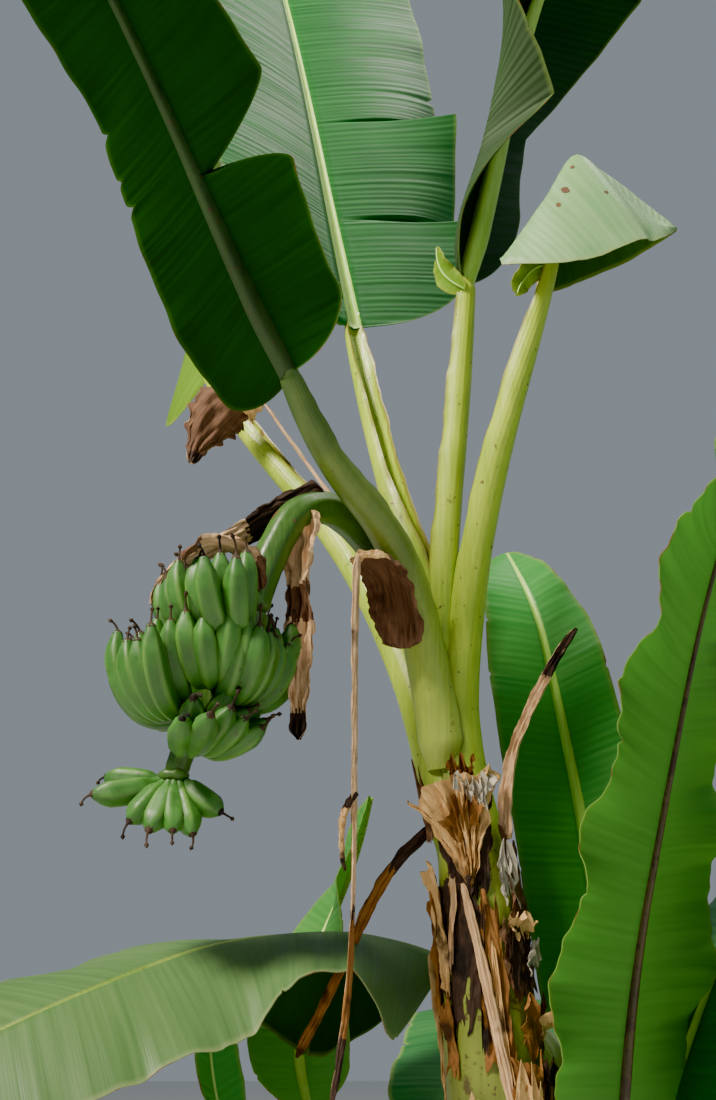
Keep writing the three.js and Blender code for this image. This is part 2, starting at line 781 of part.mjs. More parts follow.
function add(name, colour, make) {
  let solid = make(0);
  for (const grown of placed) solid = solid.subtract(grown);
  solid = largest(solid);
  placed.push(make(CLEAR));
  const { vertProperties, triVerts } = solid.getMesh();
  const geometry = new THREE.BufferGeometry();
  geometry.setAttribute('position', new THREE.BufferAttribute(Float32Array.from(vertProperties), 3));
  geometry.setIndex(new THREE.BufferAttribute(Uint32Array.from(triVerts), 1));
  geometry.computeVertexNormals();
  const mesh = new THREE.Mesh(geometry, new THREE.MeshStandardMaterial({ color: colour, roughness: 0.6 }));
  mesh.name = name;
  plant.add(mesh);
}

function addLeaf(leaf, petioleName, leafName, rows) {
  const petiole = new Walk({ ...leaf.petiole, start: leaf.start });
  const { radius, spread, wall } = leaf.channel;
  const rings = rows > 10 ? 8 : 5;
  add(petioleName, COLOUR.petiole, (grow) => channelSolid(petiole, radius, spread, wall, grow, rings));
  if (leaf.guides) {
    add(leafName, COLOUR.leaf, (grow) => foldedSolid(leaf, rows, grow));
    return;
  }
  const blade = new Walk({ ...leaf.blade, start: petiole.end(), turn: leaf.turn });
  add(leafName, COLOUR.leaf, (grow) => bladeSolid(leaf, blade, rows, grow));
}

add('pseudostem', COLOUR.stem, (grow) => stemSolid(STEM, grow));

for (const sucker of SUCKERS) {
  add(`${sucker.name}_stem`, COLOUR.stem, (grow) => stemSolid({ ...sucker, sides: 10 }, grow));
}

for (const frond of FRONDS) {
  addLeaf(frond, `petiole_${frond.name}`, `leaf_${frond.name}`, 12);
}

const peduncle = new Walk(PEDUNCLE);
const rachis = new Walk({ ...RACHIS, start: peduncle.end() });
add('peduncle', COLOUR.peduncle, (grow) => {
  const ends = grow / PEDUNCLE.length;
  return limb(peduncle, -ends, 1 + ends, (v) => station(PEDUNCLE.radius, v) + grow, 10, 7);
});
add('rachis', COLOUR.peduncle, (grow) => {
  const start = (CLEAR - grow) / RACHIS.length;
  return limb(rachis, start, 1, (v) => station(RACHIS.radius, v) + grow, 8, 5);
});
HANDS.forEach((hand, i) => {
  add(`hand_${i + 1}`, COLOUR.fruit, (grow) => handSolid(hand, rachis, grow));
});

for (const sheath of SHEATHS) {
  add(sheath.name, COLOUR.dry, (grow) => sheathSolid(sheath, grow));
}

const dryWalks = {};
for (const strip of DRY) {
  const start = strip.start ?? dryWalks[strip.follows].end();
  const walk = new Walk({ ...strip, start });
  dryWalks[strip.name] = walk;
  add(strip.name, COLOUR.dry, (grow) => stripSolid(strip, walk, grow));
}

for (const sucker of SUCKERS) {
  for (const leaf of sucker.leaves) {
    addLeaf(leaf, `${sucker.name}_petiole_${leaf.name}`, `${sucker.name}_leaf_${leaf.name}`, 8);
  }
}

export default plant;
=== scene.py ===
import logging
from dataclasses import dataclass
from enum import Enum
from typing import Sequence

import bpy
import numpy as np
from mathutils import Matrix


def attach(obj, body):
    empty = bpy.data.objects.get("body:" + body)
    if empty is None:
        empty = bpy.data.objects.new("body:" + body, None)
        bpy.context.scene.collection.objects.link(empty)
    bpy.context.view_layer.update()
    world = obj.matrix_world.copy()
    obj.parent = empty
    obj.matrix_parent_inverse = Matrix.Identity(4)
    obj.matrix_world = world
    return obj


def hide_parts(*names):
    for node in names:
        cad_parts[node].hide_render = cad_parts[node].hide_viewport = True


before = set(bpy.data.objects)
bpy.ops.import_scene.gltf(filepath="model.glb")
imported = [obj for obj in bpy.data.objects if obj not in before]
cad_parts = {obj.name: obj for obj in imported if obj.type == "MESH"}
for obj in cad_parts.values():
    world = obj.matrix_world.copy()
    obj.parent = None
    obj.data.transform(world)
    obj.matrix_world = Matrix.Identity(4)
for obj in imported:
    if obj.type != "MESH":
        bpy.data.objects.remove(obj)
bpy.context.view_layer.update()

# Fruiting banana plant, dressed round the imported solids. Sizes are millimetres in the source's
# frame, and a mesh is turned to metres when it is built. Angles are degrees.

LOG = logging.getLogger("banana_plant")
MM = 0.001
Array = np.ndarray
Stations = Sequence[float]
Tree = bpy.types.NodeTree
Socket = bpy.types.NodeSocket

# Share of a half blade's width over which a crease turns, and steps of the sum across it
CREASE_TURN = 0.2
TILT_STEPS = 72
# Small nicks in a blade's margin, in shares: the ends of the ranges that their places along, their
# depths and their half widths are drawn from
NICK_PLACES = (0.06, 0.95)
NICK_DEPTHS = (0.03, 0.09)
NICK_GAPS = (0.004, 0.008)
# Depth of the groove along a midrib's top, height of the lips beside it and how much deeper the
# keel below it grows past the foot, in half widths of the midrib
GROOVE = 0.32
GROOVE_LIP = 0.12
KEEL_GROWTH = 0.45
# Folded blade: share of the way between two guide lines over which its crease is rounded, how far
# its near half sags, and how far and how near to the edges it flutters
CREASE_ROUND = 0.3
HALF_SAG = 10.0
FLUTTER = 3.0
FLUTTER_BAND = 40.0
# Spacing of the raised veins of a blade, its thickness between them, and how far from the margin
# and, in half widths of the midrib, from the midrib's edge the veins have their full height
VEIN_PITCH = 17.0
LAMINA = 2.0
MARGIN_FADE = 14.0
RIB_FADE = 1.2
# Share of a turn by which the waves of a blade's left half run ahead of those of its right
LEFT_PHASE = 0.37
# Scales of noise for each metre along and across a blade, for its fibres and its broad streaks
BLADE_FIBRES = (420.0, 5.0, 1.0)
BLADE_STREAKS = (60.0, 2.2, 1.0)
# Length of a petiole that runs on inside the foot of its blade's midrib, how much thinner it is
# there, and how far its foot tucks in under what it wraps
PETIOLE_END = 12.0
END_TUCK = 3.0
FOOT_TUCK = 14.0
# Step at the edge of each live sheath of a stem, and heights of its fibres and dents
SEAM_STEP = 3.2
FIBRE_RELIEF = 0.7
DENT_DEPTH = 1.5
# Thickness of a dead sheath, the radius that its width is counted at, the lengths of its grid's
# rows and columns, and the sizes of its folds along and across
SHEATH_WALL = 1.6
SHEATH_RADIUS = 100.0
SHEATH_GRID = (5.0, 2.6)
SHEATH_FOLDS = (130.0, 50.0)
# Length of the rows of a dead leaf's or stalk's grid, and of its folds
STRIP_ROW = 4.5
STRIP_FOLDS = 120.0
# Radii of a banana and of the dried flower at its tip, at shares of their length
FINGER_AT = (0, 0.08, 0.17, 0.27, 0.4, 0.6, 0.78, 0.88, 0.95, 0.985, 1)
FINGER_RADII = (8, 8.5, 12, 19, 22.5, 24, 23.5, 19, 12.5, 10, 8.5)
FLOWER_AT = (0, 0.12, 0.26, 0.8, 0.86, 0.94, 1)
FLOWER_RADII = (10.5, 8.5, 2.4, 1.8, 4.6, 4.8, 1.5)
# Share of its lift that a banana has turned through at its middle, and how deep it sits
FINGER_BEND = 0.66
FINGER_SEAT = 8.0
# Ranges that a banana's length and girth, as shares of the usual ones, and its turns up and aside
# are drawn from, and those of the turns and length of its flower
FINGER_LENGTHS = (0.84, 1.06)
FINGER_GIRTHS = (0.94, 1.03)
FINGER_LIFTS = (-7, 7)
FINGER_TURNS = (-11, 11)
FLOWER_TURNS = (-60, 60)
FLOWER_LIFTS = (-90, 20)
FLOWER_LENGTHS = (28, 52)
# How much steeper, higher and shorter the second row of a hand is
ROW_RISE = 30.0
ROW_STEP = 6.0
ROW_SHORT = 0.85
# How far the middle of a hand's cushion stands out from the rachis, and how far up
CUSHION_OUT = 4.0
CUSHION_UP = 4.0


class Slot(Enum):
    """Material slots of the record, one of which each piece carries."""

    STEM = "stem"
    PETIOLE = "petiole"
    LEAF = "leaf"
    STALK = "stalk"
    FRUIT = "fruit"
    DRY_SHEATH = "dry_sheath"
    DRY_LEAF = "dry_leaf"


def stations(values: Stations, t: Array) -> Array:
    """Value at t of a list of equally spaced stations, with straight lines between them."""
    return np.interp(t, np.linspace(0, 1, len(values)), values)


def smooth(x: Array) -> Array:
    """Ease from 0 to 1: three times the square less twice the cube of x held to 0 to 1."""
    x = np.clip(x, 0, 1)
    return x * x * (3 - 2 * x)


def wander(t: Array, seed: int, pace: float, octaves: int = 3) -> Array:
    """Smooth uneven line: sines of doubling pace and halving height with seeded phases.

    Args:
        t: places along the line.
        seed: picks the phases.
        pace: waves per unit of t in the slowest sine.
        octaves: number of sines.

    Returns:
        Values within about -1 to 1.
    """
    phases = np.random.default_rng(seed).uniform(0, 2 * np.pi, octaves)
    total = np.zeros_like(t, dtype=float)
    for k, phase in enumerate(phases):
        total = total + 0.5 ** k * np.sin(2 * np.pi * pace * 2 ** k * t + phase)
    return total / 1.6


def crumple(a: Array, b: Array, seed: int, pace: tuple[float, float], waves: int = 7) -> Array:
    """Crinkled surface: folds that are the absolute value of tilted sines, added up.

    Args:
        a: places along.
        b: places across.
        seed: picks the tilt and phase of each sine.
        pace: waves per unit along and across.
        waves: number of sines.

    Returns:
        Heights within about -1 to 1.
    """
    draw = np.random.default_rng(seed)
    total = np.zeros(np.broadcast(a, b).shape)
    for k in range(waves):
        lean = draw.uniform(0.5, 1.7, 2) * draw.choice([-1.0, 1.0], 2)
        phase = draw.uniform(0, 2 * np.pi)
        wave = np.sin(2 * np.pi * (lean[0] * pace[0] * a + lean[1] * pace[1] * b) + phase)
        total = total + (1 - 2 * np.abs(wave)) / (1 + 0.4 * k)
    return total / 2.6


def ragged(t: Array, seed: int, count: int) -> Array:
    """Torn edge: straight lines between seeded values of 0 to 1, at even places along t of 0 to 1."""
    values = np.random.default_rng(seed).uniform(0, 1, count + 1)
    return np.interp(t, np.linspace(0, 1, count + 1), values)


def normals(points: Array) -> Array:
    """Unit normals of a grid: its differences across crossed with its differences along."""
    cross = np.cross(np.gradient(points, axis=1), np.gradient(points, axis=0))
    return cross / np.maximum(np.linalg.norm(cross, axis=-1, keepdims=True), 1e-9)


def curve(points: Sequence[Sequence[float]], t: Array) -> Array:
    """Catmull-Rom curve: each span blends its two ends and the slopes of their neighbours.

    Args:
        points: points that the curve passes through.
        t: places along it, from 0 to 1, even from point to point.

    Returns:
        A point for each place.
    """
    p = np.asarray(points, float)
    p = np.vstack([2 * p[0] - p[1], p, 2 * p[-1] - p[-2]])
    x = np.clip(t, 0, 1) * (len(points) - 1)
    i = np.minimum(x.astype(int), len(points) - 2)
    f = (x - i)[:, None]
    a, b, c, d = p[i], p[i + 1], p[i + 2], p[i + 3]
    return 0.5 * (2 * b + (c - a) * f + (2 * a - 5 * b + 4 * c - d) * f ** 2
                  + (3 * b - a - 3 * c + d) * f ** 3)


def risen(share: Array, inner: Array) -> Array:
    """Share of their height that a blade's veins have, eased in from the midrib's edge and the margin."""
    return smooth((share - 1) / RIB_FADE) * smooth(inner / MARGIN_FADE)


def ring(columns: int) -> Array:
    """Angles round a ring, as a row: even steps of a full turn."""
    return np.linspace(0, 2 * np.pi, columns, endpoint=False)[None]


def wrap(along: Array, columns: int, girth: float) -> Array:
    """UVs of a tube, in metres: the length at each ring, as a column, and even shares of a girth."""
    around = np.linspace(0, 1, columns + 1)[None]
    return np.stack([along + 0 * around, girth * around + 0 * along], -1) * MM


def level(heading: float) -> Array:
    """Level direction of a heading: its cosine and sine."""
    return np.array([np.cos(np.radians(heading)), np.sin(np.radians(heading)), 0])


@dataclass
class Walk:
    """Centre line that turns through its headings and lifts at an even pace.

    The direction at t has the heading and lift of that place, and the points add up short
    steps along it.
    """

    start: Sequence[float]
    heading: Stations
    lift: Stations
    length: float
    turn: Stations = (0, 0)
    steps: int = 480

    def __post_init__(self) -> None:
        """Add up the steps."""
        middle = (np.arange(self.steps) + 0.5) / self.steps
        step = self.direction(middle) * self.length / self.steps
        self.points = np.vstack([[self.start], np.asarray(self.start) + np.cumsum(step, 0)])

    def direction(self, t: Array) -> Array:
        """Direction at t: cosines and sines of the heading and the lift.

        Args:
            t: places along the line.

        Returns:
            A unit vector for each place.
        """
        a = np.radians(stations(self.heading, t))
        e = np.radians(stations(self.lift, t))
        return np.stack([np.cos(e) * np.cos(a), np.cos(e) * np.sin(a), np.sin(e)], -1)

    def frame(self, t: Array) -> tuple[Array, Array, Array, Array]:
        """Point, direction, rightward axis and upper-side axis.

        Args:
            t: places along the line, from 0 to 1, or a little past either end.

        Returns:
            Four arrays of vectors, one for each place.
        """
        spot = np.clip(t, 0, 1) * self.steps
        knots = np.arange(self.steps + 1)
        point = np.stack([np.interp(spot, knots, self.points[:, k]) for k in range(3)], -1)
        ahead = self.direction(t)
        point = point + ahead * ((t - np.clip(t, 0, 1)) * self.length)[:, None]
        a = np.radians(stations(self.heading, t))
        e = np.radians(stations(self.lift, t))
        roll = np.radians(stations(self.turn, t))[:, None]
        right = np.stack([np.sin(a), -np.cos(a), 0 * a], -1)
        upper = np.stack([-np.sin(e) * np.cos(a), -np.sin(e) * np.sin(a), np.cos(e)], -1)
        return (point, ahead, right * np.cos(roll) - upper * np.sin(roll),
                upper * np.cos(roll) + right * np.sin(roll))

    def beside(self, u: Array, out: Array, up: Array) -> Array:
        """Points beside the line: its own plus offsets along the rightward and upper-side axes."""
        point, _, right, upper = [a[:, None] for a in self.frame(u[:, 0])]
        return point + out[..., None] * right + up[..., None] * upper

    def end(self) -> Array:
        """Last point of the line."""
        return self.points[-1]


class Skin:
    """Closed surfaces gathered into one mesh."""

    def __init__(self) -> None:
        """Start with nothing."""
        self.points: list[Array] = []
        self.groups: list[tuple[Array, Array, Array]] = []
        self.marks: list[Array] = []
        self.count = 0

    def put(self, points: Array, groups: list[tuple[Array, Array, Array]], mark: Array | None = None) -> None:
        """Add one closed surface, turned so that it encloses a positive volume.

        Args:
            points: its vertices.
            groups: corner indices, corner UVs and material index of its faces, by face size.
            mark: one number for each vertex, kept as the attribute named mark.
        """
        middle = points.mean(0)
        volume = 0.0
        for corners, _, _ in groups:
            p = points[corners] - middle
            for k in range(1, corners.shape[1] - 1):
                volume += float(np.sum(p[:, 0] * np.cross(p[:, k], p[:, k + 1])))
        if volume < 0:
            groups = [(c[:, ::-1], m[:, ::-1], kind) for c, m, kind in groups]
        self.points.append(points)
        self.groups += [(c + self.count, m, kind) for c, m, kind in groups]
        self.marks.append(np.zeros(len(points)) if mark is None else mark)
        self.count += len(points)

    def slab(self, top: Array, under: Array, uv: Array, kind: Array, under_kind: Array,
             mark: Array | None = None) -> None:
        """Add a sheet with a top, an under side and walls round its border.

        Args:
            top: grid of points.
            under: grid of points of the same shape.
            uv: grid of UVs.
            kind: material index of each top face.
            under_kind: material index of each under face.
            mark: grid of numbers for the mark attribute.
        """
        rows, columns = top.shape[:2]
        n = rows * columns
        index = np.arange(n).reshape(rows, columns)
        quads = np.stack([index[:-1, :-1], index[:-1, 1:], index[1:, 1:], index[1:, :-1]], -1).reshape(-1, 4)
        border = np.concatenate([index[0], index[1:, -1], index[-1, -2::-1], index[-2:0:-1, 0]])
        after = np.roll(border, -1)
        walls = np.stack([after, border, border + n, after + n], 1)
        flat = np.concatenate([uv.reshape(-1, 2)] * 2)
        faces = np.vstack([quads, quads[:, ::-1] + n, walls])
        kinds = np.concatenate([kind.ravel(), under_kind.ravel(), np.full(len(walls), kind.flat[0])])
        marks = None if mark is None else np.concatenate([mark.ravel()] * 2)
        self.put(np.vstack([top.reshape(-1, 3), under.reshape(-1, 3)]), [(faces, flat[faces], kinds)], marks)

    def tube(self, rings: Array, uv: Array, kind: int, mark: Array | None = None) -> None:
        """Add a closed tube: rings of points joined in a grid, with a fan over each end.

        Args:
            rings: points of each ring, in turn.
            uv: grid of UVs with one column more than the rings have points.
            kind: material index.
            mark: grid of numbers for the mark attribute, as the rings.
        """
        rows, columns = rings.shape[:2]
        index = np.arange(rows * columns).reshape(rows, columns)
        after = np.roll(index, -1, axis=1)
        quads = np.stack([index[:-1], after[:-1], after[1:], index[1:]], -1).reshape(-1, 4)
        maps = np.stack([uv[:-1, :-1], uv[:-1, 1:], uv[1:, 1:], uv[1:, :-1]], 2).reshape(-1, 4, 2)
        ends = np.stack([rings[0].mean(0), rings[-1].mean(0)])
        n = rows * columns
        first = np.stack([after[0], index[0], np.full(columns, n)], 1)
        last = np.stack([index[-1], after[-1], np.full(columns, n + 1)], 1)
        fans = np.vstack([first, last])
        fan_maps = np.repeat(np.vstack([uv[0, :-1], uv[-1, :-1]])[:, None], 3, axis=1)
        points = np.vstack([rings.reshape(-1, 3), ends])
        marks = None if mark is None else np.concatenate([mark.ravel(), mark[[0, -1], 0]])
        groups = [(c, m, np.full(len(c), kind)) for c, m in ((quads, maps), (fans, fan_maps))]
        self.put(points, groups, marks)

    def limb(self, path: Walk, u: Array, radius: Array, cloth: tuple[float, float], kind: int = 0,
             mark: Array | None = None, tall: float = 1.0) -> None:
        """Add a round tube about a path.

        Args:
            path: its middle line.
            u: places of its rings along the path, as a column.
            radius: radius of each ring at each angle, as a grid.
            cloth: length and girth that the UV map spans.
            kind: material index.
            mark: grid of numbers for the mark attribute.
            tall: stretch of the rings along the upper-side axis.
        """
        columns = radius.shape[1]
        angle = ring(columns)
        points = path.beside(u, radius * np.cos(angle), tall * radius * np.sin(angle))
        self.tube(points, wrap(u * cloth[0], columns, cloth[1]), kind, mark)

    def build(self, name: str) -> bpy.types.Mesh:
        """Make the mesh, in metres, smooth apart from its sharp edges.

        Args:
            name: name of the mesh.

        Returns:
            The mesh, with its UV map and mark attribute.
        """
        mesh = bpy.data.meshes.new(name)
        mesh.vertices.add(self.count)
        mesh.vertices.foreach_set("co", (np.vstack(self.points) * MM).astype(np.float32).ravel())
        corners = np.concatenate([c.ravel() for c, _, _ in self.groups])
        sizes = np.concatenate([np.full(len(c), c.shape[1]) for c, _, _ in self.groups])
        mesh.loops.add(len(corners))
        mesh.loops.foreach_set("vertex_index", corners.astype(np.int32))
        mesh.polygons.add(len(sizes))
        mesh.polygons.foreach_set("loop_start", (np.cumsum(sizes) - sizes).astype(np.int32))
        kinds = np.concatenate([k for _, _, k in self.groups])
        mesh.polygons.foreach_set("material_index", kinds.astype(np.int32))
        mesh.update(calc_edges=True)
        maps = np.concatenate([m.reshape(-1, 2) for _, m, _ in self.groups])
        mesh.uv_layers.new(name="surface").data.foreach_set("uv", maps.astype(np.float32).ravel())
        mark = mesh.attributes.new("mark", "FLOAT", "POINT")
        mark.data.foreach_set("value", np.concatenate(self.marks).astype(np.float32))
        mesh.shade_smooth()
        mesh.set_sharp_from_angle(angle=np.radians(58))
        return mesh


def linear(colour: str) -> tuple[float, float, float, float]:
    """Linear colour of an sRGB hex value: its channels through the sRGB curve.

    Args:
        colour: number sign and six hex digits.

    Returns:
        Red, green, blue and a full alpha.
    """
    channels = [int(colour[i:i + 2], 16) / 255 for i in (1, 3, 5)]
    red, green, blue = [c / 12.92 if c <= 0.04045 else ((c + 0.055) / 1.055) ** 2.4 for c in channels]
    return (red, green, blue, 1.0)


def node(tree: Tree, kind: str, inputs: dict | Sequence = (), out: str | int | None = 0,
         **settings: object) -> Socket | None:
    """Add a node with its settings and links.

    Args:
        tree: node tree of a material.
        kind: type of the node, without the ShaderNode before it.
        inputs: for each input, by name or in turn, the socket that feeds it or its value. A hex
            colour is turned to linear.
        out: the output that is wanted, if any.
        settings: properties of the node.

    Returns:
        The socket of that output.
    """
    made = tree.nodes.new(f"ShaderNode{kind}")
    for name, value in settings.items():
        setattr(made, name, value)
    for key, value in inputs.items() if isinstance(inputs, dict) else enumerate(inputs):
        if isinstance(value, bpy.types.NodeSocket):
            tree.links.new(value, made.inputs[key])
        else:
            made.inputs[key].default_value = linear(value) if isinstance(value, str) else value
    return None if out is None else made.outputs[out]


def weigh(tree: Tree, start: float, *terms: tuple[Socket, float]) -> Socket:
    """Sum of a start and of sockets times their weights, held to 0 to 1.

    Args:
        tree: takes the nodes.
        start: value that the sum starts from.
        terms: each socket with its weight.

    Returns:
        The sum.
    """
    total = start
    for number, (socket, weight) in enumerate(terms, 1):
        total = node(tree, "Math", (socket, weight, total), operation="MULTIPLY_ADD",
                     use_clamp=number == len(terms))
    return total


def grain(tree: Tree, vector: Socket, scale: tuple[float, float, float], detail: float) -> Socket:
    """Noise drawn out along one way, by a scale of its own for each axis."""
    stretched = node(tree, "Mapping", {"Vector": vector, "Scale": scale})
    return node(tree, "TexNoise", {"Vector": stretched, "Scale": 1.0, "Detail": detail})


# In the finishes, the inputs of MapRange in turn are the value, the two ends of the range that it
# comes from and the two that it goes to. Those of MixRGB are the share of the second colour and
# the two colours.


@dataclass(frozen=True)
class Finish:
    """Material of one real surface. Each kind of surface makes its own shader."""

    name: str

    def shader(self, tree: Tree) -> Socket:
        """Make the nodes and give the shader's socket."""
        raise NotImplementedError

    def material(self) -> bpy.types.Material:
        """Make the material: an empty tree whose output takes the shader.

        Returns:
            The material.
        """
        material = bpy.data.materials.new(self.name)
        material.use_nodes = True
        material.node_tree.nodes.clear()
        node(material.node_tree, "OutputMaterial", (self.shader(material.node_tree),), out=None)
        return material


@dataclass(frozen=True)
class BladeFinish(Finish):
    """One face of a banana leaf: a waxy sheet with ribs of veins that run from the midrib out.

    The eye sees fine stripes along the veins, a soft gloss that breaks on them, a lighter band at the
    margin that is painted glow of light coming through, and thin brown scorch on the edge. The
    band and the rim are how far in from the edge, in metres, the painted glow and the scorch go.
    """

    deep: str
    light: str
    # Colour of the painted glow near the edge, standing in for light let through the margin
    margin: str
    glow: str
    roughness: float
    through: float
    stripe: float
    shine: float
    band: float = 0.012
    rim: float = 0.006
    scorched: str = "#7A5A34"
    scorched_glow: str = "#6B4A22"

    def shader(self, tree: Tree) -> Socket:
        """Make the nodes.

        The colour goes from deep to light by the veins' sine and noise along them, then to the
        margin's colour near the edge, a painted glow of light let through, then to scorch where noise
        near the edge is high.

        Args:
            tree: takes the nodes.

        Returns:
            A mix of a glossy skin and light let through.
        """
        uv = node(tree, "UVMap", uv_map="surface")
        place = node(tree, "TexCoord", out="Object")
        along = node(tree, "SeparateXYZ", (uv,), out="X")
        turns = node(tree, "Math", (along, 2 * np.pi / (VEIN_PITCH * MM)), operation="MULTIPLY")
        wave = node(tree, "Math", (turns,), operation="SINE")
        fine = grain(tree, uv, BLADE_FIBRES, 3.0)
        streak = grain(tree, uv, BLADE_STREAKS, 2.0)
        slow = node(tree, "TexNoise", {"Vector": place, "Scale": 5.0, "Detail": 2.0})
        tone = weigh(tree, -0.42, (wave, self.stripe), (fine, 0.5), (streak, 0.8), (slow, 0.55))
        body = node(tree, "MixRGB", (tone, self.deep, self.light))
        edge = node(tree, "Attribute", out="Fac", attribute_name="mark")
        # Lighter band near the edge: painted glow that stands in for light let through the margin
        near = node(tree, "MapRange", (edge, 0.0, self.band, 0.75, 0.0))
        pale = node(tree, "MixRGB", (near, body, self.margin))
        rim = node(tree, "MapRange", (edge, 0.0, self.rim, 0.2, -0.2))
        uneven = node(tree, "TexNoise", {"Vector": place, "Scale": 24.0, "Detail": 4.0})
        burnt = node(tree, "Math", (uneven, rim), operation="ADD")
        scorch = node(tree, "MapRange", (burnt, 0.72, 0.8, 0.0, 0.85))
        rough = node(tree, "MapRange", (streak, 0.3, 0.75, self.roughness - 0.08, self.roughness + 0.16))
        front = node(tree, "BsdfPrincipled", {
            "Base Color": node(tree, "MixRGB", (scorch, pale, self.scorched)), "Roughness": rough,
            "Normal": node(tree, "Bump", {"Height": fine, "Strength": 0.5, "Distance": 0.0006}),
            "Specular IOR Level": self.shine})
        lit = node(tree, "MixRGB", (scorch, self.glow, self.scorched_glow))
        behind = node(tree, "BsdfTranslucent", (lit,))
        return node(tree, "MixShader", (self.through, front, behind))


@dataclass(frozen=True)
class FleshFinish(Finish):
    """Smooth living skin, such as a petiole, a midrib, a stem or a fruit.

    The eye sees waxy flesh with fibres along it, a slow change of tint and small brown scars. The ridge
    colour is a brown line at a petiole's margins and a painted highlight along a banana's angles.
    The band is the two heights in metres between which the foot's colour fades out. On the stem the foot's
    colour is its own lower tone; on the bloomed petiole, whose band runs the other way, it is painted shade
    on its top.
    """

    deep: str
    light: str
    scar: str = "#5A4326"
    scars: float = 0.72
    gloss: float = 0.42
    grain: tuple[float, float, float] = (160.0, 160.0, 7.0)
    patch: float = 7.0
    relief: float = 0.0008
    # Colour along the marked edges: a brown line at a petiole's margins, a painted highlight on a banana's
    # angles
    ridge_tint_and_highlight: str = ""
    # Colour by height: the stem's own lower tone, and on the bloomed petiole painted shade towards its top
    foot: str = ""
    band: tuple[float, float] = (1.85, 2.55)

    def shader(self, tree: Tree) -> Socket:
        """Make the nodes.

        Long noise along the grain and slow noise turn deep into light, the mark attribute
        turns it into the ridge colour (on the bananas a painted highlight), the height into the foot's
        colour (on the bloomed petiole painted shade towards its top), and round noise above a
        level gives the scars.

        Args:
            tree: takes the nodes.

        Returns:
            A glossy skin.
        """
        place = node(tree, "TexCoord", out="Object")
        fibre = grain(tree, place, self.grain, 4.0)
        slow = node(tree, "TexNoise", {"Vector": place, "Scale": self.patch, "Detail": 3.0})
        body = node(tree, "MixRGB", (weigh(tree, -0.5, (fibre, 0.8), (slow, 1.2)), self.deep, self.light))
        # Mix towards the ridge colour where marked; on the bananas this is a painted highlight
        if self.ridge_tint_and_highlight:
            edge = node(tree, "Attribute", out="Fac", attribute_name="mark")
            body = node(tree, "MixRGB", (edge, body, self.ridge_tint_and_highlight))
        # Mix towards the foot colour by height; on the bloomed petiole this is painted shade darkening its
        # top
        if self.foot:
            height = node(tree, "SeparateXYZ", (place,), out="Z")
            uneven = node(tree, "Math", (slow, 0.7, height), operation="MULTIPLY_ADD")
            low = node(tree, "MapRange", (uneven, *self.band, 0.9, 0.0))
            body = node(tree, "MixRGB", (low, body, self.foot))
        fleck = node(tree, "TexNoise", {"Vector": place, "Scale": 70.0, "Detail": 2.0})
        blot = node(tree, "TexNoise", {"Vector": place, "Scale": 16.0, "Detail": 4.0})
        both = node(tree, "Math", (fleck, blot), operation="MAXIMUM")
        scar = node(tree, "MapRange", (both, self.scars, self.scars + 0.05, 0.0, 0.85))
        return node(tree, "BsdfPrincipled", {
            "Base Color": node(tree, "MixRGB", (scar, body, self.scar)),
            "Roughness": node(tree, "MapRange", (fibre, 0.3, 0.7, self.gloss - 0.08, self.gloss + 0.12)),
            "Normal": node(tree, "Bump", {"Height": fibre, "Strength": 0.5, "Distance": self.relief}),
            "Subsurface Weight": 0.08, "Subsurface Scale": 0.01})


@dataclass(frozen=True)
class DryFinish(Finish):
    """Dead leaf tissue: papery fibre that has dried brown, frayed along its veins.

    The eye sees parallel fibres of several browns, matt, with dark rot between them.
    """

    deep: str
    light: str
    dark: str
    fibres: float
    rot: float

    def shader(self, tree: Tree) -> Socket:
        """Make the nodes: fibre noise picks deep or light, slow noise adds the dark rot.

        Args:
            tree: takes the nodes.

        Returns:
            A matt skin.
        """
        place = node(tree, "TexCoord", out="Object")
        fibre = grain(tree, node(tree, "UVMap", uv_map="surface"), (9.0, self.fibres, 1.0), 4.0)
        slow = node(tree, "TexNoise", {"Vector": place, "Scale": 14.0, "Detail": 5.0})
        body = node(tree, "MixRGB", (weigh(tree, -0.65, (fibre, 1.5), (slow, 0.8)), self.deep, self.light))
        stain = node(tree, "MapRange", (slow, self.rot, self.rot + 0.12, 0.0, 0.9))
        return node(tree, "BsdfPrincipled", {
            "Base Color": node(tree, "MixRGB", (stain, body, self.dark)), "Roughness": 0.8,
            "Normal": node(tree, "Bump", {"Height": fibre, "Strength": 0.8, "Distance": 0.0012}),
            "Specular IOR Level": 0.25})


@dataclass(frozen=True)
class PaintFinish(Finish):
    """Matt painted studio floor. The eye sees a plain pale surface with hardly any cloud."""

    deep: str
    light: str

    def shader(self, tree: Tree) -> Socket:
        """Make the nodes: slow noise turns deep into light.

        Args:
            tree: takes the nodes.

        Returns:
            A matt skin.
        """
        cloud = node(tree, "TexNoise", {"Vector": node(tree, "TexCoord", out="Object"), "Scale": 1.5,
                                        "Detail": 2.0})
        tint = node(tree, "MixRGB", (cloud, self.deep, self.light))
        return node(tree, "BsdfPrincipled", {"Base Color": tint, "Roughness": 0.9})


def link(name: str, data: bpy.types.ID) -> bpy.types.Object:
    """Object of that name and data, linked to the scene.

    Args:
        name: name of the object.
        data: its mesh, light or camera.

    Returns:
        The object.
    """
    made = bpy.data.objects.new(name, data)
    bpy.context.scene.collection.objects.link(made)
    return made


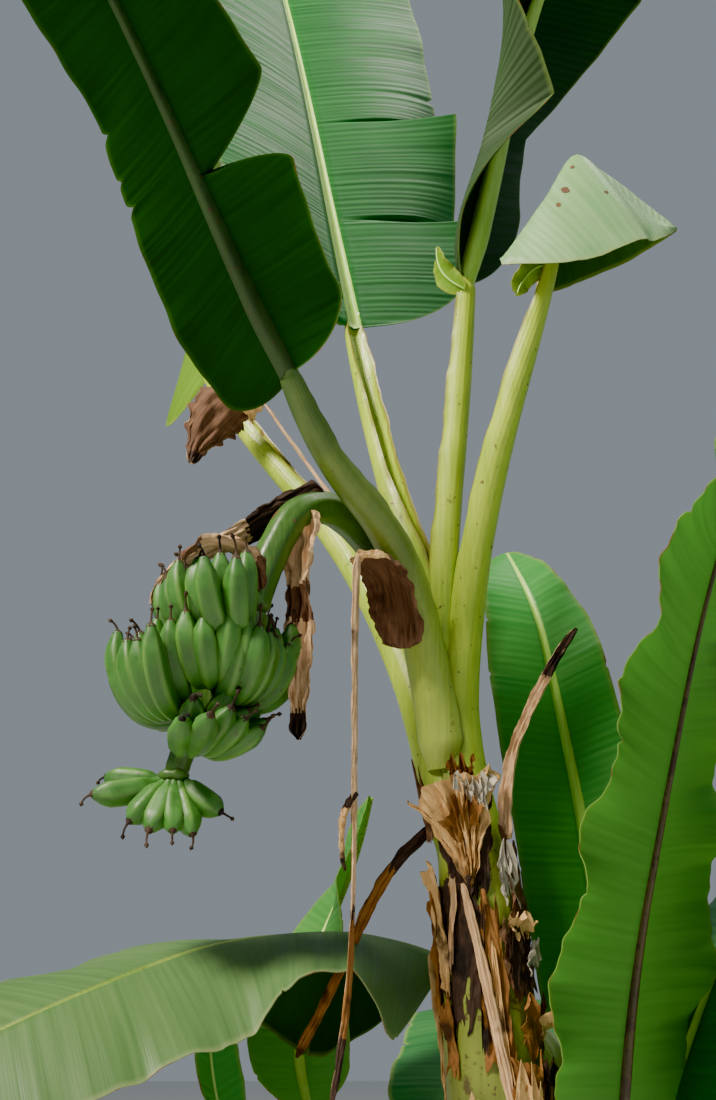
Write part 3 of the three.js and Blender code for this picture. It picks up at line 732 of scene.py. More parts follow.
class Piece:
    """Piece of the plant that stands for one CAD node, and is named after it and its own part."""

    node: str
    part: str
    slot: Slot

    def finishes(self) -> Sequence[Finish]:
        """A finish for each material index."""
        raise NotImplementedError

    def build(self) -> Skin:
        """Surfaces of the piece."""
        raise NotImplementedError

    def settle(self) -> None:
        """Put the piece into the scene on its body, in place of its CAD node."""
        name = f"{self.node}_{self.part}"
        skin = self.build()
        mesh = skin.build(name)
        for finish in self.finishes():
            mesh.materials.append(bpy.data.materials.get(finish.name) or finish.material())
        piece = link(name, mesh)
        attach(piece, "root")
        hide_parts(self.node)
        triangles = sum(len(c) * (c.shape[1] - 2) for c, _, _ in skin.groups)
        LOG.info("%s: %d triangles, for %s", name, triangles, self.node)


# Living tissue
MIDRIB_PALE = FleshFinish("leaf_midrib_pale", "#78A836", "#A6CE5C", scars=0.8, patch=9.0)
# Near-black green midrib of the front leaf: painted shade that it lies in under its blade
MIDRIB_PAINTED_SHADE = FleshFinish("leaf_midrib_painted_shade", "#142C0A", "#2E5216", scar="#492E18", scars=0.66, gloss=0.6)
MIDRIB_OLIVE = FleshFinish("leaf_midrib_olive", "#3F4B1B", "#656E30", scar="#56311B", scars=0.64)
MIDRIB_BROWN = FleshFinish("leaf_midrib_brown", "#292615", "#564823", scar="#2F1D12", scars=0.58)
PETIOLE_SKIN = FleshFinish("petiole_waxy_skin", "#7A9A14", "#B6CC40", scars=0.68, ridge_tint_and_highlight="#6E5F2A")
# Its foot colour, by the reversed band, darkens the petiole above about 2.5 m: painted shade of the blade
# over it
PETIOLE_WAXED = FleshFinish("petiole_bloomed_skin", "#7A961E", "#BACC58", scars=0.70, ridge_tint_and_highlight="#5E6A2A",
                            foot="#2C5218", band=(3.0, 2.5))
PETIOLE_SHADE = FleshFinish("petiole_green_skin", "#4D6E1F", "#7C9536", scars=0.70)
STEM_SKIN = FleshFinish("pseudostem_sheath_skin", "#768C20", "#B0C444", scar="#47341D", scars=0.64,
                        patch=4.0, relief=0.0015, foot="#5C6526")
# Stalk green darkened for the shade that the peduncle hangs in: partly its own dark green, partly painted
# shade
STALK_SKIN_PAINTED_SHADE = FleshFinish("fruit_stalk_skin_painted_shade", "#1E4010", "#487420", scars=0.70)
# On the bananas the ridge colour is a lighter stripe along each angle: painted highlight
FRUIT_SKIN = FleshFinish("banana_fruit_skin", "#15440C", "#44802A", scar="#3E311D", scars=0.71, gloss=0.5,
                         grain=(40.0, 40.0, 40.0), patch=12.0, relief=0.0005, ridge_tint_and_highlight="#719B43")
FLOWER_REMAINS = DryFinish("dried_flower_remains", "#1A1718", "#54402E", "#121114", 500.0, 0.5)

# Dead tissue
DRY_TAN = DryFinish("dry_sheath_tan", "#9A6C34", "#EBC88C", "#3B2616", 320.0, 0.55)
DRY_ORANGE = DryFinish("dry_sheath_orange_brown", "#5E3818", "#A06F38", "#2A1B10", 280.0, 0.54)
DRY_DARK = DryFinish("dry_sheath_dark", "#1C1510", "#49352A", "#0F0C0A", 300.0, 0.52)
DRY_GREY = DryFinish("dry_sheath_weathered_grey", "#7C7262", "#E4DCCB", "#3A3027", 360.0, 0.56)
DRY_PINK = DryFinish("dry_stalk_pink_tan", "#8C6A46", "#E0BE94", "#3F2C20", 300.0, 0.60)
DRY_BROWN = DryFinish("dry_leaf_brown", "#35241A", "#7A583F", "#1C1410", 220.0, 0.62)
DRY_KINDS = (DRY_TAN, DRY_ORANGE, DRY_DARK, DRY_GREY, DRY_PINK, DRY_BROWN)


class Dry(Enum):
    """Dead tissues, by their place in DRY_KINDS."""

    TAN = 0
    ORANGE = 1
    DARK = 2
    GREY = 3
    PINK = 4
    BROWN = 5


@dataclass(frozen=True)
class Half:
    """Half of a blade, on one side of the midrib.

    Its tilt across starts at the fold, grows by the curl, and turns by the bend round the
    crease. The sweep moves its margin ahead of its midrib.
    """

    width: float
    fold: Stations
    curl: Stations
    sweep: Stations
    bend: Stations = (0, 0)
    crease: Stations = (0.5, 0.5)

    def profile(self, u: Array, w: Array) -> tuple[Array, Array]:
        """Offsets out and up of places across, in shares of the width.

        Args:
            u: places along.
            w: places across for each place along, from 0 to 1.

        Returns:
            The sums of the cosine and of the sine of the tilt up to each place.
        """
        fine = np.linspace(0, 1, TILT_STEPS + 1)[None]
        turned = smooth((fine - stations(self.crease, u)[:, None]) / CREASE_TURN + 0.5)
        tilt = np.radians(stations(self.fold, u)[:, None] + stations(self.curl, u)[:, None] * fine
                          + stations(self.bend, u)[:, None] * turned)
        middle = (tilt[:, 1:] + tilt[:, :-1]) / 2
        place = np.clip(w, 0, 1) * TILT_STEPS
        low = np.minimum(place.astype(int), TILT_STEPS - 1)
        sums = []
        for part in (np.cos(middle), np.sin(middle)):
            line = np.concatenate([np.zeros((len(u), 1)), np.cumsum(part, 1) / TILT_STEPS], 1)
            sums.append(np.take_along_axis(line, low, 1) * (1 - place + low)
                        + np.take_along_axis(line, low + 1, 1) * (place - low))
        return sums[0], sums[1]


@dataclass(frozen=True)
class Tear:
    """Split of a blade from its margin towards its midrib, along the veins.

    The rise lifts the lobe beyond the split and lowers the lobe before it.
    """

    side: int
    at: float
    depth: float
    gap: float
    rise: float = 0.0


@dataclass
class Blade(Piece):
    """Banana leaf blade on its midrib, as one grid that runs along and across it."""

    node: str
    path: Walk
    rib: Stations
    left: Half
    right: Half
    wave: tuple[float, float, float]
    faces: tuple[BladeFinish, BladeFinish]
    midrib: FleshFinish
    lobe: float = 0.12
    taper: float = 0.42
    tears: Sequence[Tear] = ()
    nicks: int = 4
    vein: float = 0.8
    seed: int = 1
    step: float = 3.7
    columns: int = 20
    part: str = "blade"
    slot: Slot = Slot.LEAF

    def finishes(self) -> Sequence[Finish]:
        """Upper face, under face and midrib."""
        return (*self.faces, self.midrib)

    def outline(self, u: Array) -> Array:
        """Share of the full half width: a quarter circle at the base, a rounded taper at the tip.

        Args:
            u: places along.

        Returns:
            Shares from 0.02 to 1.
        """
        base = np.sqrt(np.maximum(0, 1 - (1 - np.minimum(u / self.lobe, 1)) ** 2))
        tip = np.maximum(0, 1 - np.maximum(0, (u - self.taper) / (1 - self.taper)) ** 2.4) ** 0.62
        return np.maximum(0.02, base * tip)

    def width(self, side: int, u: Array) -> Array:
        """Half width: the outline less the deepest wedge of the tears and small nicks there.

        Args:
            side: -1 on the left of the heading, 1 on its right.
            u: places along.

        Returns:
            Widths in millimetres.
        """
        half = self.left if side < 0 else self.right
        draw = np.random.default_rng(self.seed * 10 + side)
        cuts = [(t.at, t.depth, t.gap) for t in self.tears if t.side == side]
        for at in draw.uniform(*NICK_PLACES, self.nicks):
            cuts.append((at, draw.uniform(*NICK_DEPTHS), draw.uniform(*NICK_GAPS)))
        notch = np.zeros_like(u)
        for at, depth, gap in cuts:
            notch = np.maximum(notch, depth * (1 - np.minimum(np.abs(u - at) / gap, 1)) ** 1.6)
        frayed = 1 + 0.008 * wander(u, self.seed + side, 5)
        return half.width * self.outline(u) * (1 - notch) * frayed

    def half(self, side: int, u: Array) -> tuple[Array, Array, Array, Array]:
        """Middle surface of one half.

        Args:
            side: -1 or 1.
            u: places along.

        Returns:
            Points, distance out from the midrib's middle, distance in from the margin, and
            the share of the midrib's half width, each as a grid.
        """
        half = self.left if side < 0 else self.right
        width = self.width(side, u)[:, None]
        rib = np.minimum(stations(self.rib, u)[:, None], 0.4 * width)
        inner = np.linspace(0, 1, 5)[None] * rib / width
        outer = rib / width + (1 - rib / width) * np.linspace(0, 1, self.columns + 1)[None, 1:]
        w = np.concatenate([inner, outer], 1)
        out, up = half.profile(u, w)
        height, count, phase = self.wave
        turns = u[:, None] * count + phase + (LEFT_PHASE if side < 0 else 0)
        ripple = height * w ** 2 * np.sin(2 * np.pi * turns)
        flutter = 0.5 * height * w ** 3 * wander(u[:, None] + 0 * w, self.seed * 7 + side, 1.7 * count)
        for tear in self.tears:
            if tear.side == side:
                full = half.width * self.outline(u)[:, None]
                beyond = np.clip((w * width / full - 1 + tear.depth) / tear.depth, 0, 1)
                away = (u - tear.at)[:, None]
                flutter = flutter + np.sign(away) * tear.rise * beyond ** 2 * np.exp(-np.abs(away) / 0.06)
        shift = w * width * stations(half.sweep, u)[:, None]
        ahead = self.path.direction(u)[:, None]
        points = self.path.beside(u[:, None], side * out * width, up * width + ripple + flutter)
        return points + shift[..., None] * ahead, w * width, (1 - w) * width, w * width / rib

    def build(self) -> Skin:
        """Close the blade into a thin sheet with raised veins, a keel below and a groove on top.

        The veins are a sine of the length along, faded out at the midrib and the margin. The
        keel is a half ellipse below the midrib.

        Returns:
            The blade's surfaces.
        """
        rows = int(self.path.length / self.step)
        u = np.linspace(0.0008, 0.9992, rows)
        for tear in self.tears:
            u = np.concatenate([u, tear.at + tear.gap * np.linspace(-1, 1, 33)])
        u = np.unique(np.round(u, 5))
        left, right = self.half(-1, u), self.half(1, u)
        points, out, inner, share = [np.concatenate([a[:, ::-1], b[:, 1:]], 1) for a, b in zip(left, right)]
        side = np.concatenate([np.full(left[1].shape[1], -1), np.full(right[1].shape[1] - 1, 1)])[None]
        up = normals(points)
        along = u[:, None] * self.path.length
        strength = 1 + 0.5 * wander(along / self.path.length, self.seed + 3, 6)
        fade = risen(share, inner) * strength
        turns = along / VEIN_PITCH + 0.9 * wander(along / self.path.length, self.seed + 4, 11)
        veins = self.vein * fade * np.sin(2 * np.pi * turns)
        keel = np.sqrt(np.maximum(0, 1 - share ** 2))
        rib = stations(self.rib, u)[:, None]
        lip = GROOVE_LIP * np.exp(-((share - 1.05) / 0.35) ** 2)
        groove = rib * (GROOVE * keel - lip) * smooth(u[:, None] / 0.01)
        top = points + up * (veins + LAMINA / 2 - groove)[..., None]
        deep = 1 + KEEL_GROWTH * smooth(u[:, None] / 0.08)
        under = points + up * (veins - LAMINA / 2 - deep * rib * keel)[..., None]
        uv = np.stack([along + 0 * out, side * out], -1) * MM
        middle = np.maximum(share[:, :-1], share[:, 1:])[:-1] <= 1.001
        kind = np.where(middle, 2, 0)
        skin = Skin()
        skin.slab(top, under, uv, kind, np.where(middle, 2, 1), inner * MM)
        return skin


@dataclass
class FoldedBlade(Piece):
    """Blade whose near half has folded over its midrib, through four guide lines."""

    node: str
    far: Sequence[Sequence[float]]
    rib_line: Sequence[Sequence[float]]
    crease: Sequence[Sequence[float]]
    margin: Sequence[Sequence[float]]
    rib: Stations
    faces: tuple[BladeFinish, BladeFinish]
    midrib: FleshFinish
    seed: int = 5
    vein: float = 0.6
    rows: int = 230
    spots: Sequence[tuple[float, float, float]] = ()
    part: str = "blade"
    slot: Slot = Slot.LEAF

    def finishes(self) -> Sequence[Finish]:
        """Upper face, under face, midrib and dead spots."""
        return (*self.faces, self.midrib, DRY_BROWN)

    def surface(self, u: Array, s: Array) -> Array:
        """Points of the middle surface.

        Straight lines join the far margin, the midrib, the crease and the near margin, and
        the crease is rounded off towards the line that cuts its corner.

        Args:
            u: places along.
            s: places across, 0 at the far margin, 1, 2 and 3 at the next lines.

        Returns:
            A grid of points.
        """
        a, b, c, d = [curve(line, u)[:, None] for line in (self.far, self.rib_line, self.crease, self.margin)]
        f = s[None, :, None]
        folded = np.where(f < 2, b + (c - b) * (f - 1), c + (d - c) * (f - 2))
        straight = np.where(f < 1, a + (b - a) * f, folded)
        cut = 0.5 * (b + (c - b) * 0.8 + c + (d - c) * 0.2)
        reach = 0.5 * (1 - np.minimum(1, np.abs(f - 2) / CREASE_ROUND))
        sag = HALF_SAG * np.sin(np.pi * np.clip(f - 2, 0, 1))
        return straight + (cut - straight) * reach + np.array([0, -1.0, 0]) * sag

    def build(self) -> Skin:
        """Close the folded blade, with veins along the lines of equal u and a keel at the midrib.

        Returns:
            The blade's surfaces.
        """
        u = np.linspace(0.004, 0.996, self.rows)
        s = np.concatenate([np.linspace(0, 0.9, 14), np.linspace(0.93, 1.07, 9), np.linspace(1.1, 1.68, 10),
                            np.linspace(1.72, 2.28, 15), np.linspace(2.33, 3, 18)])
        points = self.surface(u, s)
        up = normals(points)
        steps = np.linalg.norm(np.diff(points, axis=1), axis=-1)
        across = np.concatenate([np.zeros((len(u), 1)), np.cumsum(steps, 1)], 1)
        middle = across[:, np.argmin(np.abs(s - 1))][:, None]
        length = np.linalg.norm(np.diff(curve(self.rib_line, u), axis=0), axis=-1).sum()
        along = (u * length)[:, None] + 0 * across
        inner = np.minimum(across, across[:, -1:] - across)
        share = np.abs(across - middle) / stations(self.rib, u)[:, None]
        keel = np.sqrt(np.maximum(0, 1 - share ** 2))
        veins = self.vein * risen(share, inner) * np.sin(2 * np.pi * along / VEIN_PITCH)
        flutter = FLUTTER * smooth(1 - inner / FLUTTER_BAND) * wander(along / length, self.seed, 3)
        rib = stations(self.rib, u)[:, None]
        top = points + up * (veins + flutter + LAMINA / 2 - 0.3 * rib * keel)[..., None]
        under = points + up * (veins + flutter - LAMINA / 2 - 1.3 * rib * keel)[..., None]
        uv = np.stack([along, across - middle], -1) * MM
        ribbed = np.maximum(share[:, :-1], share[:, 1:])[:-1] <= 1.05
        skin = Skin()
        skin.slab(top, under, uv, np.where(ribbed, 2, 0), np.where(ribbed, 2, 1), inner * MM)
        for number, spot in enumerate(self.spots):
            self.scorch(skin, number, *spot)
        return skin

    def scorch(self, skin: Skin, number: int, along: float, across: float, size: float) -> None:
        """Add a dead spot: an uneven disc laid through the sheet, a little thicker than it.

        Args:
            skin: takes the closed surface.
            number: picks the disc's outline.
            along: place of its middle along the blade.
            across: place of its middle across.
            size: radius in millimetres.
        """
        turn = np.linspace(0, 2 * np.pi, 19)[None]
        reach = np.linspace(0.04, 1, 5)[:, None] * (1 + 0.22 * wander(turn / np.pi, number, 1.0))
        reach[:, -1] = reach[:, 0]
        middle = self.surface(np.array([along - 0.01, along, along + 0.01]),
                              np.array([across - 0.05, across + 0.05]))
        centre = middle[1].mean(0)
        ahead = middle[2].mean(0) - middle[0].mean(0)
        ahead = ahead / np.linalg.norm(ahead)
        facing = np.cross(ahead, middle[1, 1] - middle[1, 0])
        facing = facing / np.linalg.norm(facing)
        aside = np.cross(facing, ahead)
        way = np.cos(turn)[..., None] * ahead + np.sin(turn)[..., None] * aside
        flat = centre + size * reach[..., None] * way
        rise = facing * (LAMINA / 2 + 0.8)
        rings = np.concatenate([(flat - rise)[:, :-1], (flat + rise)[::-1, :-1]])
        uv = np.stack([reach + 0 * turn, turn + 0 * reach], -1) * size * MM
        skin.tube(rings, np.concatenate([uv, uv[::-1]]), 3)


@dataclass
class Petiole(Piece):
    """Leaf stalk: a fleshy channel, open on its upper side, that wraps the stem at its foot."""

    node: str
    path: Walk
    radius: Stations
    spread: Stations
    wall: Stations
    finish: FleshFinish
    seed: int = 1
    rows: int = 120
    columns: int = 30
    part: str = "channel"
    slot: Slot = Slot.PETIOLE

    def finishes(self) -> Sequence[Finish]:
        """The one skin."""
        return (self.finish,)

    def build(self) -> Skin:
        """Close the channel: arcs about the path, thick in the middle and thin at the edges.

        The angle across is the spread times x, the wall is thinned by the cube of x, and the
        edges lean out in slow waves. The foot tucks in under what it wraps, and the end goes
        into the midrib.

        Returns:
            The channel's surface.
        """
        u = np.linspace(0, 1 + PETIOLE_END / self.path.length, self.rows)[:, None]
        x = np.linspace(-1, 1, self.columns)[None]
        wall = stations(self.wall, u) * (1 - 0.8 * np.abs(x) ** 3)
        lean = np.abs(x) ** 8 * (3 + 3 * wander(u + 0 * x, self.seed + 9, 5))
        ridges = 0.6 * wander(x * 4 + 0 * u, self.seed, 1.7, 4)
        outer = stations(self.radius, u) + ridges * smooth((1 - np.abs(x)) / 0.1)
        outer = outer + lean - FOOT_TUCK * (1 - smooth(u / 0.07))
        outer = outer - END_TUCK * smooth((u - 1) * self.path.length / PETIOLE_END + 1)
        turn = np.radians(stations(self.spread, u)) * x
        inside, outside = [self.path.beside(u, r * np.sin(turn), -r * np.cos(turn))
                           for r in (outer - wall, outer)]
        uv = np.stack([u * self.path.length + 0 * x, outer * turn], -1) * MM
        kind = np.zeros((self.rows - 1, self.columns - 1), int)
        skin = Skin()
        skin.slab(inside, outside, uv, kind, kind, 0.8 * smooth((np.abs(x) - 0.9) / 0.08) + 0 * u)
        return skin


@dataclass
class Stem(Piece):
    """Pseudostem of tightly wrapped leaf sheaths, flat at the ground.

    The lean moves its middle along both level axes by a share of the height, and the bend adds
    to the first of them at each of the heights.
    """

    node: str
    heights: Stations
    radii: Stations
    lean: tuple[float, float]
    foot: tuple[float, float] = (0, 0)
    bend: Stations = ()
    seams: int = 5
    seed: int = 1
    rows: int = 260
    columns: int = 110
    part: str = "sheaths"
    slot: Slot = Slot.STEM

    def finishes(self) -> Sequence[Finish]:
        """The one skin."""
        return (STEM_SKIN,)

    def build(self) -> Skin:
        """Close the stem: rings whose radius has a step at each sheath's edge and fine fibres.

        Each sheath's edge climbs at a slant, and the radius falls away from it once round.

        Returns:
            The stem's surface.
        """
        z = np.linspace(0, self.heights[-1], self.rows)[:, None]
        angle = ring(self.columns)
        relief = 0 * z * angle
        draw = np.random.default_rng(self.seed)
        for k in range(self.seams):
            seam = 2 * np.pi * k / self.seams + draw.uniform(-0.3, 0.3) + z * draw.uniform(-4e-4, 4e-4)
            turn = np.mod(angle - seam + 0.02 * wander(z / 900, self.seed + k, 1.4), 2 * np.pi) / (2 * np.pi)
            relief = relief + SEAM_STEP * (smooth(turn / 0.018) * (1 - turn) ** 3 - 0.25)
        grooves = wander(angle * 9 / np.pi + 0.5 * np.sin(z / 300), self.seed + 20, 1.0, 4)
        fibres = FIBRE_RELIEF * grooves
        dents = DENT_DEPTH * wander(z / 700 + np.sin(angle), self.seed + 30, 1.3)
        r = np.interp(z, self.heights, self.radii) - 3 + relief + fibres + dents * smooth(z / 60)
        bend = np.interp(z, self.heights, self.bend) if self.bend else 0
        points = np.stack([self.foot[0] + self.lean[0] * z + bend + r * np.cos(angle),
                           self.foot[1] + self.lean[1] * z + r * np.sin(angle), z + 0 * angle], -1)
        skin = Skin()
        skin.tube(points, wrap(z, self.columns, 600.0), 0)
        return skin


MAIN_STEM = Stem("pseudostem", (0, 60, 200, 600, 1100, 1500, 1780, 1900, 2040, 2200, 2330),
                 (150, 138, 124, 114, 106, 95, 82, 66, 36, 24, 14), (-0.0707, 0),
                 bend=(0, 0, 0, 0, 0, 0, 0, -8, -26, -44, -52), seed=3, rows=420)
# Radius and sideways bend, at a few heights, of the pseudostem with the live sheaths that wrap
# its upper part. The dead sheaths lie on this surface.
WRAP_HEIGHTS = (0, 600, 1100, 1500, 1780, 1900, 2040, 2200)
WRAP_RADII = (150, 114, 106, 95, 84, 77, 68, 64)
WRAP_BEND = (0, 0, 0, 0, 0, -8, -26, -44)


@dataclass(frozen=True)
class Patch:
    """Torn piece of a dead sheath that lies on the stem.

    Its place is a middle heading and half spread at its foot and top, between two heights.
    The offset lifts it off the stem and the flare its top. The teeth are the number and depth
    of those at its top, and the foot has teeth of a depth of its own. The slant turns it as it
    climbs, and the rake raises its top edge towards the right. The flutes are their number from
    the middle to a side and their height.
    """

    heading: float
    spread: tuple[float, float]
    low: float
    high: float
    kind: Dry
    offset: float = 3.0
    flare: float = 0.0
    teeth: tuple[int, float] = (6, 40.0)
    slant: float = 0.0
    foot_teeth: float = 40.0
    crinkle: float = 3.0
    curl: float = 6.0
    flutes: tuple[float, float] = (3.0, 2.0)
    rake: float = 0.0
    seed: int = 1

    def put(self, skin: Skin) -> None:
        """Add the patch to a skin.

        The height goes from the ragged foot to the ragged top, the angle from side to side
        with frayed edges, and the radius is the stem's, with small folds and with flutes
        along the fibres that deepen towards the top.

        Args:
            skin: takes the closed surface.
        """
        tall = self.high - self.low
        wide = np.radians(2 * max(self.spread)) * SHEATH_RADIUS
        rows = int(np.clip(tall / SHEATH_GRID[0], 16, 110))
        columns = int(np.clip(wide / SHEATH_GRID[1], 10, 90))
        u = np.linspace(0, 1, rows)[:, None]
        x = np.linspace(-1, 1, columns)[None]
        across = (x + 1) / 2
        top = self.high - self.teeth[1] * ragged(across, self.seed, self.teeth[0]) + self.rake * x
        foot = self.low + self.foot_teeth * ragged(across, self.seed + 1, self.teeth[0] + 2)
        z = foot + (top - foot) * u
        frayed = 1 + 0.12 * wander(u + 0 * x, self.seed + 2, 2.5, 4) * np.abs(x)
        spread = stations(self.spread, u) * frayed
        heading = self.heading + self.slant * (u - 0.5) + spread * x
        angle = np.radians(heading)
        long, broad = SHEATH_FOLDS
        folds = self.crinkle * crumple(u * tall / long, across * wide / broad, self.seed + 3, (0.6, 1.0))
        bent = across + 0.05 * np.sin(4 * u + self.seed)
        flute = 1 - 2 * np.abs(np.sin(np.pi * self.flutes[0] * bent + self.seed))
        edge = self.curl * np.abs(x) ** 5 * (0.6 + 0.4 * np.sin(9 * u + self.seed))
        lift = self.offset + self.flare * u ** 3 + folds + self.flutes[1] * (0.3 + 0.7 * u) * flute + edge
        r = np.interp(z, WRAP_HEIGHTS, WRAP_RADII) + lift

        def shell(radius: Array) -> Array:
            """Points at a radius about the leaning stem."""
            middle = MAIN_STEM.lean[0] * z + np.interp(z, WRAP_HEIGHTS, WRAP_BEND)
            return np.stack([middle + radius * np.cos(angle), radius * np.sin(angle), z], -1)

        uv = np.stack([z + 37.0 * self.seed, r * angle], -1) * MM
        kind = np.full((rows - 1, columns - 1), self.kind.value)
        skin.slab(shell(r), shell(r - SHEATH_WALL), uv, kind, kind)


@dataclass
class SheathGroup(Piece):
    """Dead sheath remains in place of one CAD band."""

    node: str
    patches: Sequence[Patch]
    part: str = "remains"
    slot: Slot = Slot.DRY_SHEATH

    def finishes(self) -> Sequence[Finish]:
        """All dead tissues."""
        return DRY_KINDS

    def build(self) -> Skin:
        """Gather the patches.

        Returns:
            Their surfaces.
        """
        skin = Skin()
        for patch in self.patches:
            patch.put(skin)
        return skin


@dataclass
class DryStrip(Piece):
    """Dead leaf or stalk that hangs or stands on its own path.

    The curl is half the angle that it bends through across. The pleats are their number across
    half the width and their height.
    """

    node: str
    path: Walk
    width: Stations
    curl: float
    kinds: tuple[Dry, ...]
    cuts: Stations = ()
    crinkle: float = 2.5
    fray: float = 0.25
    thick: float = 3.0
    pleats: tuple[float, float] = (1.0, 0.0)
    seed: int = 1
    columns: int = 30
    part: str = "strip"
    slot: Slot = Slot.DRY_LEAF

    def finishes(self) -> Sequence[Finish]:
        """All dead tissues."""
        return DRY_KINDS

    def build(self) -> Skin:
        """Close the strip: arcs across that curl up, with crumpled folds and frayed margins.

        The material changes from kind to kind at the cuts along.

        Returns:
            The strip's surface.
        """
        rows = int(np.clip(self.path.length / STRIP_ROW, 40, 240))
        u = np.linspace(0, 1, rows)[:, None]
        x = np.linspace(-1, 1, self.columns)[None]
        jag = 1 - self.fray * (0.5 + 0.5 * wander(u + 0 * x, self.seed, 7, 4)) * np.abs(x)
        width = stations(self.width, u) * jag * smooth((u + 0.02) / 0.05) * smooth((1.02 - u) / 0.06)
        width = np.maximum(width, 1.5)
        bend = np.radians(self.curl * (1 + 0.35 * wander(u, self.seed + 1, 2.2)))
        out = width * np.sin(bend * np.abs(x)) / bend
        up = width * (1 - np.cos(bend * np.abs(x))) / bend
        folds = self.crinkle * crumple(u * self.path.length / STRIP_FOLDS, x, self.seed + 2, (0.6, 1.1))
        count, height = self.pleats
        pleat = height * (1 - 2 * np.abs(np.sin(np.pi * count * (x + 0.2 * np.sin(5 * u)))))
        pleat = pleat * np.minimum(1, width / max(self.width))
        middle = self.path.beside(u, np.sign(x) * out, up + folds + pleat)
        wall = self.thick * (1 - 0.6 * np.abs(x) ** 3)
        away = normals(middle) * (wall / 2)[..., None]
        uv = np.stack([u * self.path.length + 0 * x, width * x], -1) * MM
        spot = (u[:-1] + u[1:]) / 2 + 0 * x[:, 1:] + 0.02 * wander(x[:, 1:] * 3, self.seed + 5, 1)
        kind = np.array([k.value for k in self.kinds])[np.searchsorted(np.asarray(self.cuts, float), spot)]
        skin = Skin()
        skin.slab(middle + away, middle - away, uv, kind, kind)
        return skin


@dataclass
class Limb(Piece):
    """Round limb along a path, such as the flower stalk."""

    node: str
    path: Walk
    radius: Stations
    seed: int = 1
    part: str = "limb"
    slot: Slot = Slot.STALK

    def finishes(self) -> Sequence[Finish]:
        """The one skin."""
        return (STALK_SKIN_PAINTED_SHADE,)

    def build(self) -> Skin:
        """Close the limb: rings about the path with ridges along them and slow swellings.

        Returns:
            The limb's surface.
        """
        u = np.linspace(0, 1, 110)[:, None]
        angle = ring(40)
        ridges = 0.9 * np.sin(7 * angle + 1.5 * np.sin(5 * u)) + 0.9 * wander(u * 3 + 0 * angle, self.seed, 2)
        ends = np.sqrt(np.maximum(0.05, 1 - np.maximum(0, (u - 0.97) / 0.03) ** 2))
        skin = Skin()
        skin.limb(self.path, u, (stations(self.radius, u) - 1 + ridges) * ends, (self.path.length, 220.0))
        return skin


